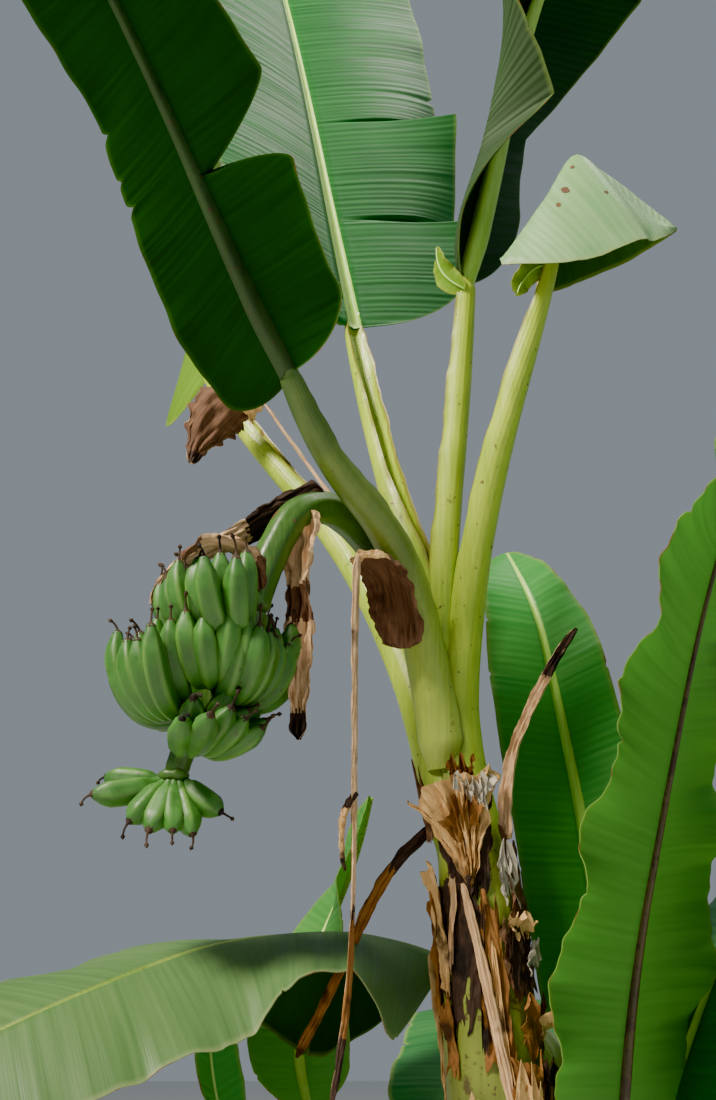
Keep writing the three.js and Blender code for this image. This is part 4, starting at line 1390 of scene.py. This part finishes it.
@dataclass
class Hand(Piece):
    """One hand of short plump bananas, in two rows, on the cushion that they grow from.

    The place is its share of the rachis. The fingers' headings spread about its own, their lift
    goes from the first value at the neck to the second at the tip, and the tilt lowers those on
    the near side and raises those on the far side. The second row sits higher and is shorter.
    """

    node: str
    rachis: Walk
    stalk: Stations
    seed: int
    at: float
    heading: float
    spread: float
    rows: tuple[int, int]
    lift: tuple[float, float]
    length: float
    tilt: float = 0.0
    crown: float = 14.0
    part: str = "bananas"
    slot: Slot = Slot.FRUIT

    def finishes(self) -> Sequence[Finish]:
        """Peel, dried flowers and cushion."""
        return (FRUIT_SKIN, FLOWER_REMAINS, STALK_SKIN_PAINTED_SHADE)

    def build(self) -> Skin:
        """Gather the fingers, evenly spaced in each row, and the cushion, an arc of a ring.

        Returns:
            The hand's surfaces.
        """
        skin = Skin()
        point = self.rachis.frame(np.array([self.at]))[0][0]
        reach = float(stations(self.stalk, np.array([self.at]))[0]) + CUSHION_OUT
        for row, count in enumerate(self.rows):
            for i in range(count):
                heading = self.heading + ((i + 0.25 + 0.5 * row) / count - 0.5) * self.spread
                middle = self.lift[0] + (self.lift[1] - self.lift[0]) * FINGER_BEND
                tip = self.tilt * np.sin(np.radians(heading))
                lift = (self.lift[0] + row * ROW_RISE + tip, middle + 0.4 * row * ROW_RISE + tip,
                        self.lift[1] + tip)
                start = point + level(heading) * (reach - FINGER_SEAT) + np.array([0, 0, row * ROW_STEP])
                length = self.length * (ROW_SHORT if row else 1)
                self.finger(skin, start, heading, lift, length, self.seed + 10 * row + i)
        low = self.heading - self.spread / 2
        start = point + reach * level(low) + np.array([0, 0, CUSHION_UP])
        arc = reach * np.radians(self.spread)
        path = Walk(start, (low + 90, low + 90 + self.spread), (0, 0), arc, steps=60)
        u = np.linspace(0, 1, 24)[:, None]
        r = self.crown * (0.9 + 0.12 * np.sin(20 * u)) * np.sqrt(np.maximum(0.1, 1 - (2 * u - 1) ** 6))
        skin.limb(path, u, r + np.zeros((1, 16)), (100.0, 90.0), 2, tall=1.3)
        return skin

    def finger(self, skin: Skin, start: Array, heading: float, lift: Stations, length: float,
               seed: int) -> None:
        """Add one banana with the dried flower at its tip.

        The radius follows named stations from the neck to the blunt tip, times a five-sided
        wave round it. The flower is a short black tube with a knob, that bends aside.

        Args:
            skin: takes the surfaces.
            start: foot of the neck.
            heading: way that it points.
            lift: lifts from the neck to the tip.
            length: length along its middle.
            seed: varies it.
        """
        draw = np.random.default_rng(seed)
        length = length * draw.uniform(*FINGER_LENGTHS)
        lift = np.asarray(lift) + draw.uniform(*FINGER_LIFTS) * np.array([0.3, 1.0, 1.4])
        path = Walk(start, (heading, heading + draw.uniform(*FINGER_TURNS)), lift, length, steps=60)
        u = np.linspace(0, 1, 19)[:, None]
        edge = np.cos(5 * ring(20) + draw.uniform(0, 1)) * smooth((u - 0.1) / 0.2) * smooth((1.05 - u) / 0.2)
        r = np.interp(u, FINGER_AT, FINGER_RADII) * (1 + 0.09 * edge) * draw.uniform(*FINGER_GIRTHS)
        # The mark lays the peel's lighter ridge colour along each angle: a painted highlight on the edges
        skin.limb(path, u, r, (length, 150.0), 0, 0.55 * np.maximum(0, edge) ** 4)
        foot = path.end() - 4 * path.direction(np.array([1.0]))[0]
        turned = (heading, heading + draw.uniform(*FLOWER_TURNS))
        drooped = (lift[-1], lift[-1] + draw.uniform(*FLOWER_LIFTS))
        flower = Walk(foot, turned, drooped, draw.uniform(*FLOWER_LENGTHS), steps=12)
        v = np.linspace(0, 1, 9)[:, None]
        skin.limb(flower, v, np.interp(v, FLOWER_AT, FLOWER_RADII) + np.zeros((1, 7)), (30.0, 30.0), 1)


@dataclass(frozen=True)
class Area:
    """Soft light panel: its place, the point it faces, its size, power and colour."""

    name: str
    place: tuple[float, float, float]
    aim: tuple[float, float, float]
    size: float
    power: float
    colour: str

    def hang(self) -> None:
        """Put the panel in its place, turned to its aim by the angles of the way there."""
        light = bpy.data.lights.new(self.name, "AREA")
        light.size = self.size
        light.energy = self.power
        light.color = linear(self.colour)[:3]
        lamp = link(self.name, light)
        lamp.location = self.place
        x, y, z = np.subtract(self.aim, self.place)
        lamp.rotation_euler = (float(np.arctan2(np.hypot(x, y), -z)), 0, float(np.arctan2(-x, y)))


@dataclass
class Studio:
    """Pale floor, soft light and the camera at the photograph's angle, in metres."""

    camera: tuple[float, float, float] = (-0.363, -3.056, 1.6)
    pitch: float = 16.4
    lens: float = 50.0
    sensor: float = 36.0
    floor: float = 30.0
    surround: str = "#DCE9F4"
    ambient: float = 0.55
    areas: Sequence[Area] = (
        Area("key_light", (-4.5, -3.5, 8.5), (-0.2, 0.0, 3.0), 1.7, 3200.0, "#FFF4E0"),
        Area("fill_light", (5.0, -5.0, 3.0), (0.0, 0.0, 2.6), 5.0, 90.0, "#EAF2FF"),
        Area("top_light", (2.2, 1.2, 8.6), (-0.3, 0.2, 3.8), 2.4, 420.0, "#FFFBF0"),
    )

    def build(self) -> None:
        """Make the floor, the lights, the pale surround and the camera."""
        self.lay_floor()
        for area in self.areas:
            area.hang()
        scene = bpy.context.scene
        scene.world = bpy.data.worlds.new("studio_surround")
        scene.world.use_nodes = True
        background = scene.world.node_tree.nodes["Background"].inputs
        background["Color"].default_value = linear(self.surround)
        background["Strength"].default_value = self.ambient
        lens = bpy.data.cameras.new("studio_camera")
        lens.lens, lens.sensor_width, lens.clip_end = self.lens, self.sensor, 100.0
        scene.camera = link("studio_camera", lens)
        scene.camera.location = self.camera
        scene.camera.rotation_euler = (np.radians(90 + self.pitch), 0, 0)
        scene.view_settings.look = "AgX - Punchy"

    def lay_floor(self) -> None:
        """Make the floor, one square at ground level."""
        mesh = bpy.data.meshes.new("studio_floor")
        s = self.floor
        mesh.from_pydata([(-s, -s, 0), (s, -s, 0), (s, s, 0), (-s, s, 0)], [], [(0, 1, 2, 3)])
        mesh.materials.append(PaintFinish("studio_floor_painted", "#D9D8D3", "#E0DFDB").material())
        link("studio_floor", mesh)


def faces(name: str, upper: tuple[str, str, str, str], under: tuple[str, str, str, str],
          through: float = 0.2, stripe: float = 0.16, shine: float = 0.3) -> tuple[BladeFinish, BladeFinish]:
    """Finishes of a blade's two faces.

    Args:
        name: whose blade it is.
        upper: deep and light colours, the margin's painted glow and the glow of light let through, of the
            upper face.
        under: the same of the under face.
        through: share of the light that comes through.
        stripe: how strongly the colour follows the veins.
        shine: strength of the upper face's gloss.

    Returns:
        The upper and the under finish.
    """
    return (BladeFinish(f"leaf_{name}_upper_face", *upper, roughness=0.44, through=through, stripe=stripe,
                        shine=shine),
            BladeFinish(f"leaf_{name}_under_face", *under, roughness=0.55, through=through,
                        stripe=0.6 * stripe, shine=0.07))


# The broad blade's upper face has a wide step from deep to light along the noise: partly random tone, partly
# painted sheen standing in for gloss bands
BROAD_FACES = faces("broad", ("#0C4A1C", "#34803C", "#6E903E", "#638925"),
                    ("#123A11", "#29561C", "#63802D", "#577D1F"), stripe=0.12, shine=0.17)
SHADED_FACES = faces("shaded", ("#16491E", "#316C2F", "#708E3E", "#628929"),
                     ("#082A04", "#164A0C", "#35601A", "#4F8A14"), through=0.18, stripe=0.05)
STRIPED_FACES = faces("striped", ("#1B2E15", "#41573A", "#5E7636", "#4C6C20"),
                      ("#0A2408", "#1E421A", "#5C7A2A", "#4F7A1C"), through=0.1, stripe=0.16, shine=0.22)
PALE_FACES = faces("pale", ("#6AA562", "#A2C890", "#9CB070", "#819C3A"),
                   ("#173E13", "#376422", "#83963E", "#819C3A"), through=0.3, stripe=0.05)
GLOWING_FACES = faces("glowing", ("#5A8C22", "#86AE32", "#A0B04B", "#A8C038"),
                      ("#5A8C22", "#86AE32", "#A0B04B", "#A8C038"), through=0.45)
BRIGHT_FACES = faces("bright", ("#38803A", "#62A450", "#7FA048", "#84BE56"),
                     ("#3A8034", "#66A64C", "#78983A", "#86C056"), through=0.45, stripe=0.06)
VIVID_FACES = faces("vivid", ("#1F7A34", "#4FA848", "#81994D", "#86B83C"),
                    ("#2D6F1B", "#58932C", "#708833", "#86B83C"), through=0.35, stripe=0.06)
SUCKER_FACES = faces("sucker", ("#18572C", "#3D7A3E", "#81994D", "#769932"),
                     ("#173A11", "#315F22", "#708833", "#638825"), stripe=0.1)
DUSTY_FACES = faces("dusty", ("#3C6230", "#62844C", "#81905E", "#70893E"),
                    ("#102D0E", "#224919", "#63802D", "#4A7019"), stripe=0.04, shine=0.3)


# Half the angle that a petiole's channel goes round, from its foot to its blade
WRAPPED = (128, 148, 150, 138, 108)


def crown() -> list[Piece]:
    """Petioles and blades of the five fronds of the crown, from the source's own sizes.

    Returns:
        The pieces.
    """
    built: list[Piece] = []
    right = Walk((-126, 0, 1850), (-39, -51, -44, 12), (111, 78, 70, 76.5), 1312)
    built.append(Petiole("petiole_right", right, (76, 47, 33, 28, 24), WRAPPED, (30, 26, 20, 17, 14),
                         PETIOLE_SKIN, seed=2, rows=180, columns=44))
    built.append(FoldedBlade(
        "leaf_right",
        far=((49, -60, 3098), (54, 0, 3090), (98, 30, 3116), (154, 40, 3143), (239, 30, 3180),
             (304, -20, 3201), (326, -96, 3189)),
        rib_line=((38, -87, 3111), (50, -110, 3177), (70, -128, 3243), (102, -140, 3330), (171, -130, 3307),
                  (257, -110, 3246), (325, -100, 3192)),
        crease=((-76, -215, 3055), (-32, -225, 3122), (16, -225, 3196), (95, -200, 3314),
                (170, -175, 3262), (253, -145, 3198), (322, -103, 3188)),
        margin=((-75, -250, 3030), (41, -290, 3012), (121, -290, 3029), (208, -265, 3076),
                (244, -230, 3094), (282, -180, 3130), (321, -106, 3184)),
        rib=(12, 9, 4), faces=PALE_FACES, midrib=MIDRIB_OLIVE, vein=0.22,
        spots=((0.395, 2.21, 9.0), (0.35, 2.25, 6.0), (0.455, 2.1, 5.0), (0.495, 2.49, 4.0))))
    left = Walk((-153, 6, 1880), (133.5, 136, 153.5, 117.5), (75, 61, 50, 49), 1473)
    built.append(Petiole("petiole_left", left, (68, 44, 32, 27, 23), (128, 150, 156, 150, 130),
                         (30, 25, 20, 17, 14), PETIOLE_SKIN, seed=3, rows=180, columns=44))
    built.append(Blade(
        "leaf_left", Walk(left.end(), (104, 102, 108, 114), (60, 66, 62, 50), 1480), (21, 15, 10, 4),
        Half(240, (-44, -82, -80, -78), (-30, -20, -10), (-0.4, 0.4)),
        Half(240, (-30, -44, -40), (-20, -10, -10), (-0.2, 0.4)),
        (8, 3, 0.1), GLOWING_FACES, MIDRIB_PALE, seed=4))
    front = Walk((-192, -2, 2040), (-162, -125.5, -142, -126), (85.5, 71, 36.5, 56.5), 877)
    built.append(Petiole("petiole_front_left", front, (46, 42, 36, 30, 22), WRAPPED, (28, 25, 22, 18, 15),
                         PETIOLE_WAXED, seed=4, rows=150, columns=40))
    built.append(Blade(
        "leaf_front_left", Walk(front.end(), (-136, -134, -136, -139, -141), (52.5, 55, 50, 41, 29), 1813),
        (22, 11, 7, 5, 3), Half(242, (6, 14, 12), (-24, -22, -20), (0.05, 0.4)),
        Half(207, (6, 14, 12), (-24, -22, -20), (-0.5, 0.4)), (18, 3.2, 0.2), SHADED_FACES, MIDRIB_PAINTED_SHADE,
        lobe=0.06, tears=(Tear(-1, 0.225, 0.93, 0.045, 14),), vein=0.35, seed=5))
    back = Walk((-206, 21, 2240), (208, 112, 122), (88.5, 62, 73.5), 924)
    built.append(Petiole("petiole_back_left", back, (34, 33, 30, 28, 24), WRAPPED, (24, 22, 20, 18, 15),
                         PETIOLE_SKIN, seed=5, rows=150, columns=40))
    built.append(Blade(
        "leaf_back_left", Walk(back.end(), (127, 122, 119, 116, 114), (73.7, 73, 70, 64, 55), 1986),
        (21, 13, 9, 7, 4), Half(330, (12, 16, 12), (-16, -20, -24), (0.1, 0.4)),
        Half(415, (12, 16, 12), (-16, -20, -24), (0.25, 0.4)), (10, 3, 0.3), BROAD_FACES, MIDRIB_PALE,
        taper=0.62, tears=(Tear(1, 0.17, 0.5, 0.007, -40), Tear(1, 0.34, 0.62, 0.006, -50)),
        vein=0.38, seed=6))
    centre = Walk((-202, 13, 2240), (-22, -9, -16.5), (86, 84, 86), 868)
    built.append(Petiole("petiole_centre", centre, (32, 30, 28, 27, 24), WRAPPED, (24, 22, 20, 17, 15),
                         PETIOLE_SKIN, seed=6, rows=150, columns=40))
    built.append(Blade(
        "leaf_centre", Walk(centre.end(), (-26, -24, -26, -25, -25), (74, 77, 68, 68, 58), 1489),
        (20, 15, 10, 4), Half(330, (10, 14, -16, -20, -10), (-2, -2), (0.46, 0.46)),
        Half(227, (55, 62, 81, 40, 20, 10), (-7, -7), (0.46, 0.46), (-71, -127, -81, -130, -70, 0),
             (0.26, 0.14, 0.12, 0.25, 0.3)),
        (6, 3, 0.3), STRIPED_FACES, MIDRIB_PALE, vein=0.45, seed=7, columns=30))
    small = Half(27, (10, 14), (-30, -10), (0, 0.3))
    for name, lobe, seed in (
            ("leaf_right", Walk((34, -116, 3096), (215, 200, 190), (-20, -50, -74), 112, (80, 60)), 31),
            ("leaf_centre", Walk((-130, -30, 3082), (175, 150, 90), (25, 62, 88), 140, (85, 70)), 32)):
        built.append(Blade(name, lobe, (3, 2.5, 2, 1), small, small, (5, 2, 0.2), GLOWING_FACES, MIDRIB_PALE,
                           lobe=0.3, vein=0.2, seed=seed, step=2.5, columns=8, part="lobe"))
    return built


@dataclass(frozen=True)
class SuckerLeaf:
    """Sizes of one leaf of a sucker: its petiole's walk and channel, its blade's walk and halves.

    A walk here is its headings, lifts and length, and a channel its radius, spread and wall. The
    halves of the blade are alike where the right one isn't given.
    """

    name: str
    start: tuple[float, float, float]
    stalk: tuple[Stations, Stations, float]
    channel: tuple[Stations, Stations, Stations]
    blade: tuple[Stations, Stations, float]
    rib: Stations
    wave: tuple[float, float, float]
    left: Half
    right: Half | None = None
    turn: Stations = (0, 0)
    midrib: FleshFinish = MIDRIB_PALE
    looks: tuple[BladeFinish, BladeFinish] = SUCKER_FACES
    vein: float = 0.6
    seed: int = 1

    def pieces(self, sucker: str) -> list[Piece]:
        """Petiole and blade of the leaf.

        Args:
            sucker: name of the sucker in the source.

        Returns:
            The two pieces.
        """
        stalk = Walk(self.start, *self.stalk)
        blade = Walk(stalk.end(), *self.blade, self.turn)
        return [
            Petiole(f"{sucker}_petiole_{self.name}", stalk, *self.channel, PETIOLE_SHADE, self.seed, 80, 24),
            Blade(f"{sucker}_leaf_{self.name}", blade, self.rib, self.left, self.right or self.left,
                  self.wave, self.looks, self.midrib, vein=self.vein, seed=20 + self.seed, step=4.2,
                  columns=16),
        ]


# Sweep of a sucker's blades, and half the angle that their petioles go round
SWEEP = (0, 0.4)
SLIM = (105, 98, 86)
SUCKER_RIGHT = (
    SuckerLeaf("front", (112, 30, 1090), ((-75, -48), (80, 84), 250), ((34, 29, 26), SLIM, (24, 20, 15)),
               ((-46, -40, -30, -20, -10), (84, 75, 75, 68, 48), 1760), (11, 7, 5, 4, 3), (18, 7, 0.1),
               Half(292, (10, 14, 10), (-20, -20), SWEEP), Half(240, (10, 14, 10), (-20, -20), SWEEP),
               midrib=MIDRIB_BROWN, looks=BRIGHT_FACES, vein=0.35, seed=1),
    SuckerLeaf("middle", (104, 70, 1120), ((60, 70), (62, 86), 380), ((30, 26, 22), SLIM, (22, 18, 14)),
               ((150, 160, 160, 140, 100), (88, 83, 81, 78, 40), 1165), (18, 14, 10, 4), (8, 4, 0.5),
               Half(150, (16, 20, 10), (-10, -14, -14), SWEEP),
               Half(132, (16, 20, 10), (-10, -14, -14), SWEEP),
               turn=(-50, -72, -70, -50, 0), looks=VIVID_FACES, vein=0.3, seed=2),
    SuckerLeaf("arching", (100, 84, 1110), ((148, 102, 223), (78, 65, 19), 715),
               ((32, 27, 23), SLIM, (22, 18, 14)),
               ((223, 202, 222, 208, 211), (19, -2, -17, -24, -29), 1290), (12, 7, 5, 3), (16, 3, 0.1),
               Half(242, (-75, -10, -20, -32, -32, -28), (-20, -20), (0.5, 0.3, 0.4)),
               Half(270, (-40, -45, 8, 16, 23, 22), (-30, -20, -14), SWEEP),
               midrib=PETIOLE_SHADE, looks=DUSTY_FACES, vein=0.2, seed=3),
    SuckerLeaf("outer", (124, 66, 1080), ((30, 26), (66, 66), 330), ((32, 27, 23), SLIM, (22, 18, 14)),
               ((24, 14, 10, 8), (66, 60, 40, 5), 1250), (17, 13, 8, 3), (10, 4, 0.4),
               Half(235, (6, 4, -10), (-20, -24, -24), SWEEP), seed=4),
)
SUCKER_BACK = (
    SuckerLeaf("upright", (-116, 168, 960), ((183, 188, 150), (44, 46, 66), 560),
               ((28, 24, 20), SLIM, (20, 16, 13)),
               ((140, 60, 5, 10), (70, 68, 66, 78), 680), (12, 10, 7, 3), (4, 3, 0.2),
               Half(105, (10, 14, 20), (-10, -10, 0), SWEEP), looks=BRIGHT_FACES, seed=5),
    SuckerLeaf("low", (-118, 150, 880), ((205, 203), (24, 34), 330), ((26, 22, 18), SLIM, (18, 15, 12)),
               ((203, 178, 146), (36, 64, 92), 655), (11, 9, 6, 3), (4, 3, 0.2),
               Half(95, (10, 14, 10), (-10, -10), SWEEP), Half(95, (10, 14, 40), (-10, -10, 0), SWEEP),
               looks=VIVID_FACES, seed=6),
    SuckerLeaf("rear", (-100, 185, 960), ((86, 84), (74, 52), 400), ((28, 25, 22), SLIM, (20, 17, 14)),
               ((84, 76, 76, 76), (52, 26, -12, -46), 1100), (16, 12, 8, 3), (10, 4, 0.3),
               Half(230, (8, 4, -10), (-20, -24, -24), SWEEP), seed=7),
)


def stems() -> list[Piece]:
    """The pseudostem and the suckers with their leaves.

    Returns:
        The pieces.
    """
    built: list[Piece] = [
        MAIN_STEM,
        Stem("sucker_right_stem", (0, 80, 400, 900, 1180), (96, 84, 72, 60, 46), (-0.091, 0.005), (205, 62),
             seams=4, seed=8, rows=200, columns=72),
        Stem("sucker_back_stem", (0, 80, 400, 800, 1050), (90, 78, 66, 54, 40), (-0.045, -0.03), (-60, 205),
             seams=4, seed=9, rows=180, columns=72),
    ]
    for leaf in SUCKER_RIGHT:
        built += leaf.pieces("sucker_right")
    for leaf in SUCKER_BACK:
        built += leaf.pieces("sucker_back")
    return built


def remains() -> list[Piece]:
    """Dead sheaths on the stem and dead leaves and stalks that hang from the crown.

    Returns:
        The pieces.
    """
    built: list[Piece] = [
        SheathGroup("dry_sheath_front", (
            # The dark patch first in this group lies under the others and shows in their gaps: partly dark
            # dead tissue, partly painted shade of the crevices
            Patch(258, (20, 58), 1780, 1990, Dry.DARK, -2, 10, (9, 40), foot_teeth=20, rake=26, seed=11),
            Patch(257, (4, 62), 1806, 2020, Dry.TAN, 4, 34, (8, 34), foot_teeth=6, crinkle=7, curl=2,
                  flutes=(5, 7), rake=34, seed=12),
            Patch(262, (3, 24), 1836, 1990, Dry.ORANGE, 1, 36, (9, 50), foot_teeth=10, crinkle=9,
                  flutes=(6, 8), rake=20, seed=13),
            Patch(284, (8, 24), 1945, 2036, Dry.GREY, 26, 16, (17, 50), foot_teeth=50, crinkle=9,
                  flutes=(7, 8), seed=51),
            Patch(276, (16, 22), 1996, 2066, Dry.ORANGE, 8, 12, (13, 34), foot_teeth=20, crinkle=6,
                  flutes=(6, 5), seed=52),
            Patch(200, (12, 16), 1890, 2064, Dry.BROWN, 9, 6, (7, 90), foot_teeth=30, crinkle=5, seed=53),
        )),
        SheathGroup("dry_sheath_left", (
            Patch(222, (46, 40), 1500, 1858, Dry.DARK, 0, 4, (9, 60), foot_teeth=90, crinkle=4, seed=14),
            Patch(206, (7, 12), 1600, 1862, Dry.TAN, 8, 16, (4, 30), slant=-14, crinkle=6,
                  flutes=(1.5, 8), seed=15),
            Patch(192, (6, 8), 1560, 1810, Dry.ORANGE, 7, 12, (4, 50), slant=8, crinkle=5, seed=16),
            Patch(230, (3, 5), 1640, 1836, Dry.PINK, 10, 8, (3, 30), slant=14, flutes=(1, 5), seed=17),
            Patch(214, (9, 8), 1450, 1620, Dry.ORANGE, 5, 6, (5, 50), slant=-6, crinkle=5, seed=57),
        )),
        SheathGroup("dry_sheath_right", (
            Patch(322, (34, 32), 1590, 1770, Dry.BROWN, 2, 6, (9, 50), foot_teeth=50, crinkle=5, seed=18),
            Patch(312, (14, 18), 1600, 1740, Dry.DARK, 6, 6, (7, 50), foot_teeth=50, crinkle=6, seed=19),
            Patch(318, (14, 22), 1700, 1766, Dry.TAN, 9, 18, (9, 44), foot_teeth=36, crinkle=6,
                  flutes=(4, 6), seed=20),
            Patch(336, (14, 16), 1640, 1716, Dry.GREY, 10, 16, (7, 44), crinkle=6, seed=59),
            Patch(312, (12, 16), 1764, 1912, Dry.GREY, 5, 12, (9, 80), foot_teeth=50, crinkle=6,
                  flutes=(4, 5), seed=21),
            Patch(334, (24, 20), 1700, 1930, Dry.BROWN, 3, 6, (9, 90), slant=-6, crinkle=5, seed=60),
            Patch(334, (30, 26), 1480, 1620, Dry.ORANGE, 3, 14, (9, 60), foot_teeth=60, crinkle=6, seed=22),
            Patch(346, (12, 14), 1510, 1600, Dry.TAN, 10, 30, (6, 50), crinkle=6, flutes=(3, 6), seed=61),
        )),
        SheathGroup("dry_sheath_lower", (
            Patch(274, (17, 13), 1440, 1810, Dry.ORANGE, 2, 3, (6, 60), foot_teeth=90, crinkle=4, seed=23),
            Patch(262, (3, 4), 1480, 1800, Dry.DARK, 4, 3, (3, 60), slant=10, seed=62),
            Patch(278, (3, 4), 1430, 1720, Dry.TAN, 5, 4, (3, 60), slant=-8, seed=63),
            Patch(318, (40, 36), 1130, 1520, Dry.ORANGE, 4, 12, (12, 60), foot_teeth=120, crinkle=5,
                  seed=24),
            Patch(300, (12, 14), 1240, 1500, Dry.TAN, 9, 12, (7, 70), slant=-6, foot_teeth=90, crinkle=5,
                  seed=64),
            Patch(338, (12, 16), 1300, 1500, Dry.DARK, 9, 14, (7, 60), foot_teeth=90, crinkle=5, seed=65),
            Patch(322, (44, 42), 900, 1400, Dry.TAN, 3, 12, (14, 90), foot_teeth=110, crinkle=4, seed=66),
            Patch(282, (30, 24), 930, 1330, Dry.ORANGE, 6, 10, (9, 110), slant=12, foot_teeth=110, seed=25),
            Patch(346, (20, 24), 960, 1340, Dry.DARK, 7, 14, (9, 90), slant=-10, foot_teeth=90, seed=26),
            Patch(238, (14, 10), 960, 1330, Dry.GREY, 3, 6, (5, 70), slant=8, foot_teeth=90, seed=27),
            Patch(252, (5, 6), 1000, 1450, Dry.TAN, 6, 8, (4, 70), slant=-16, foot_teeth=90, seed=67),
        )),
        SheathGroup("dry_sheath_rear", (
            Patch(90, (70, 66), 1110, 1740, Dry.TAN, 2, 10, (20, 90), foot_teeth=110, crinkle=4, seed=28),
            Patch(60, (26, 30), 1180, 1690, Dry.ORANGE, 5, 12, (11, 80), slant=12, foot_teeth=110, seed=29),
            Patch(128, (28, 22), 1160, 1620, Dry.DARK, 6, 10, (11, 80), slant=-14, foot_teeth=90, seed=30),
            Patch(96, (12, 14), 1300, 1755, Dry.GREY, 8, 14, (7, 60), slant=6, foot_teeth=90, seed=31),
            Patch(40, (8, 8), 1240, 1720, Dry.DARK, 6, 8, (5, 60), slant=-8, foot_teeth=90, seed=68),
            Patch(148, (7, 9), 1220, 1730, Dry.TAN, 9, 14, (5, 60), slant=8, foot_teeth=90, seed=69),
        )),
    ]
    base = Walk((-270, -86, 2270), (-108, -142, -115), (92, 64, -44), 284)
    stalk = Walk((-198, 46, 2150), (168, 153, 159), (81, 54, 57), 875)
    built += [
        DryStrip("dry_strip_front",
                 Walk((-164, -90, 1812), (-12, -12, 8, 20), (-77, -79, -82), 640, (-78, -78)),
                 (9, 14, 12, 11, 9), 50, (Dry.PINK,), pleats=(1.5, 3), seed=41),
        DryStrip("dead_leaf_base", base, (44, 68, 72, 60, 26), -46, (Dry.BROWN, Dry.TAN), (0.8,), 5, 0.1,
                 pleats=(1.2, 5), seed=42),
        DryStrip("dead_petiole_hanging",
                 Walk(base.end(), (230, 262, 265, 225, 200), (-86, -88, -87, -86, -76), 1010,
                      (75, 90, 60, 80)),
                 (17, 17, 16, 13, 8), 50, (Dry.PINK, Dry.DARK, Dry.ORANGE, Dry.DARK), (0.66, 0.69, 0.88),
                 2, 0.15, pleats=(1.5, 2), seed=43),
        DryStrip("dead_leaf_hanging",
                 Walk((-474, -188, 2530), (-95, -95, -90), (-86, -88, -89), 462, (0, 40, -30, 30)),
                 (46, 48, 34, 34, 26, 15), 50, (Dry.PINK, Dry.BROWN, Dry.PINK, Dry.DARK),
                 (0.34, 0.5, 0.88), 7, 0.25, pleats=(1.5, 8), seed=44),
        DryStrip("dead_strip",
                 Walk((-432, -148, 2573), (192, 197, 190, 188), (-22, -38, -25, -70), 425, (60, 50, 30)),
                 (36, 36, 24, 12), 40, (Dry.DARK, Dry.PINK), (0.42,), 4, 0.15, pleats=(2, 3), seed=45),
        DryStrip("dead_strip", Walk((-548, -262, 2345), (265, 225, 195, 200), (55, 30, 0, -60), 215),
                 (14, 32, 36, 30, 12), 70, (Dry.BROWN, Dry.PINK, Dry.BROWN), (0.3, 0.8), 5, 0.25,
                 pleats=(1.5, 4), seed=71, part="bract"),
        DryStrip("dead_petiole_hanging", Walk((-366, -224, 1966), (215, 190, 175), (-48, -86, -100), 150),
                 (9, 15, 13, 5), 70, (Dry.DARK, Dry.TAN, Dry.DARK), (0.25, 0.85), 4, 0.25, seed=72,
                 part="scrap"),
        DryStrip("dead_stalk_back", stalk, (16, 13, 11, 10), 60, (Dry.PINK,), crinkle=1.0, seed=46),
        DryStrip("dead_leaf_back",
                 Walk(stalk.end(), (163, 165, 175, 187), (60, -37, -62, -74), 270, (50, 60, 70, 80)),
                 (48, 100, 94, 52, 14), 60, (Dry.TAN, Dry.BROWN, Dry.DARK), (0.3, 0.9), 7, 0.28,
                 pleats=(1.5, 6), seed=47),
        DryStrip("dead_petiole_right",
                 Walk((-70, -48, 1900), (-10, -12, -9), (96, 66, 54), 450, (40, 60, 60)),
                 (26, 20, 15, 17, 10), 60, (Dry.PINK, Dry.DARK), (0.74,), 3, 0.2, pleats=(1.5, 4), seed=48),
        DryStrip("dead_petiole_left",
                 Walk((-175, 20, 1950), (-160, -170, -175), (-30, -66, -60), 560, (50, 70)),
                 (22, 18, 14, 12), 60, (Dry.DARK, Dry.ORANGE), (0.3,), 3, 0.2, pleats=(1.5, 3), seed=49),
    ]
    return built


def fruiting() -> list[Piece]:
    """The flower stalk, its rachis and the hands of bananas.

    Returns:
        The pieces.
    """
    stalk = Walk((-212, 30, 2250), (192, 203, 231, 219, 200), (70, 64, 17, -59, -80), 762)
    rachis = Walk(stalk.end(), (200, 162, 164, 165), (-80, -56, -60, -80), 362)
    thickness = (31, 31, 28, 20)
    hands = (
        (0.16, 216, 128, (8, 6), (-26, 94), 215), (0.4, 70, 120, (7, 4), (-20, 92), 190),
        (0.42, 275, 60, (4, 3), (-24, 90), 190), (0.5, 340, 100, (6, 4), (-26, 88), 205),
        (0.6, 190, 124, (9, 6), (-24, 92), 240), (0.8, 318, 100, (6, 4), (-12, 40), 172),
        (0.95, 254, 194, (7, 0), (-22, 0), 134, 55, 8),
    )
    built: list[Piece] = [Limb("peduncle", stalk, (37, 35, 34, 33), 3), Limb("rachis", rachis, thickness, 4)]
    for number, sizes in enumerate(hands, 1):
        built.append(Hand(f"hand_{number}", rachis, thickness, 100 * number, *sizes))
    return built


def main() -> None:
    """Build the studio and every piece of the plant."""
    logging.basicConfig(level=logging.INFO, format="%(name)s %(message)s")
    Studio().build()
    for piece in (*stems(), *crown(), *fruiting(), *remains()):
        piece.settle()


if __name__ == "__main__":
    main()
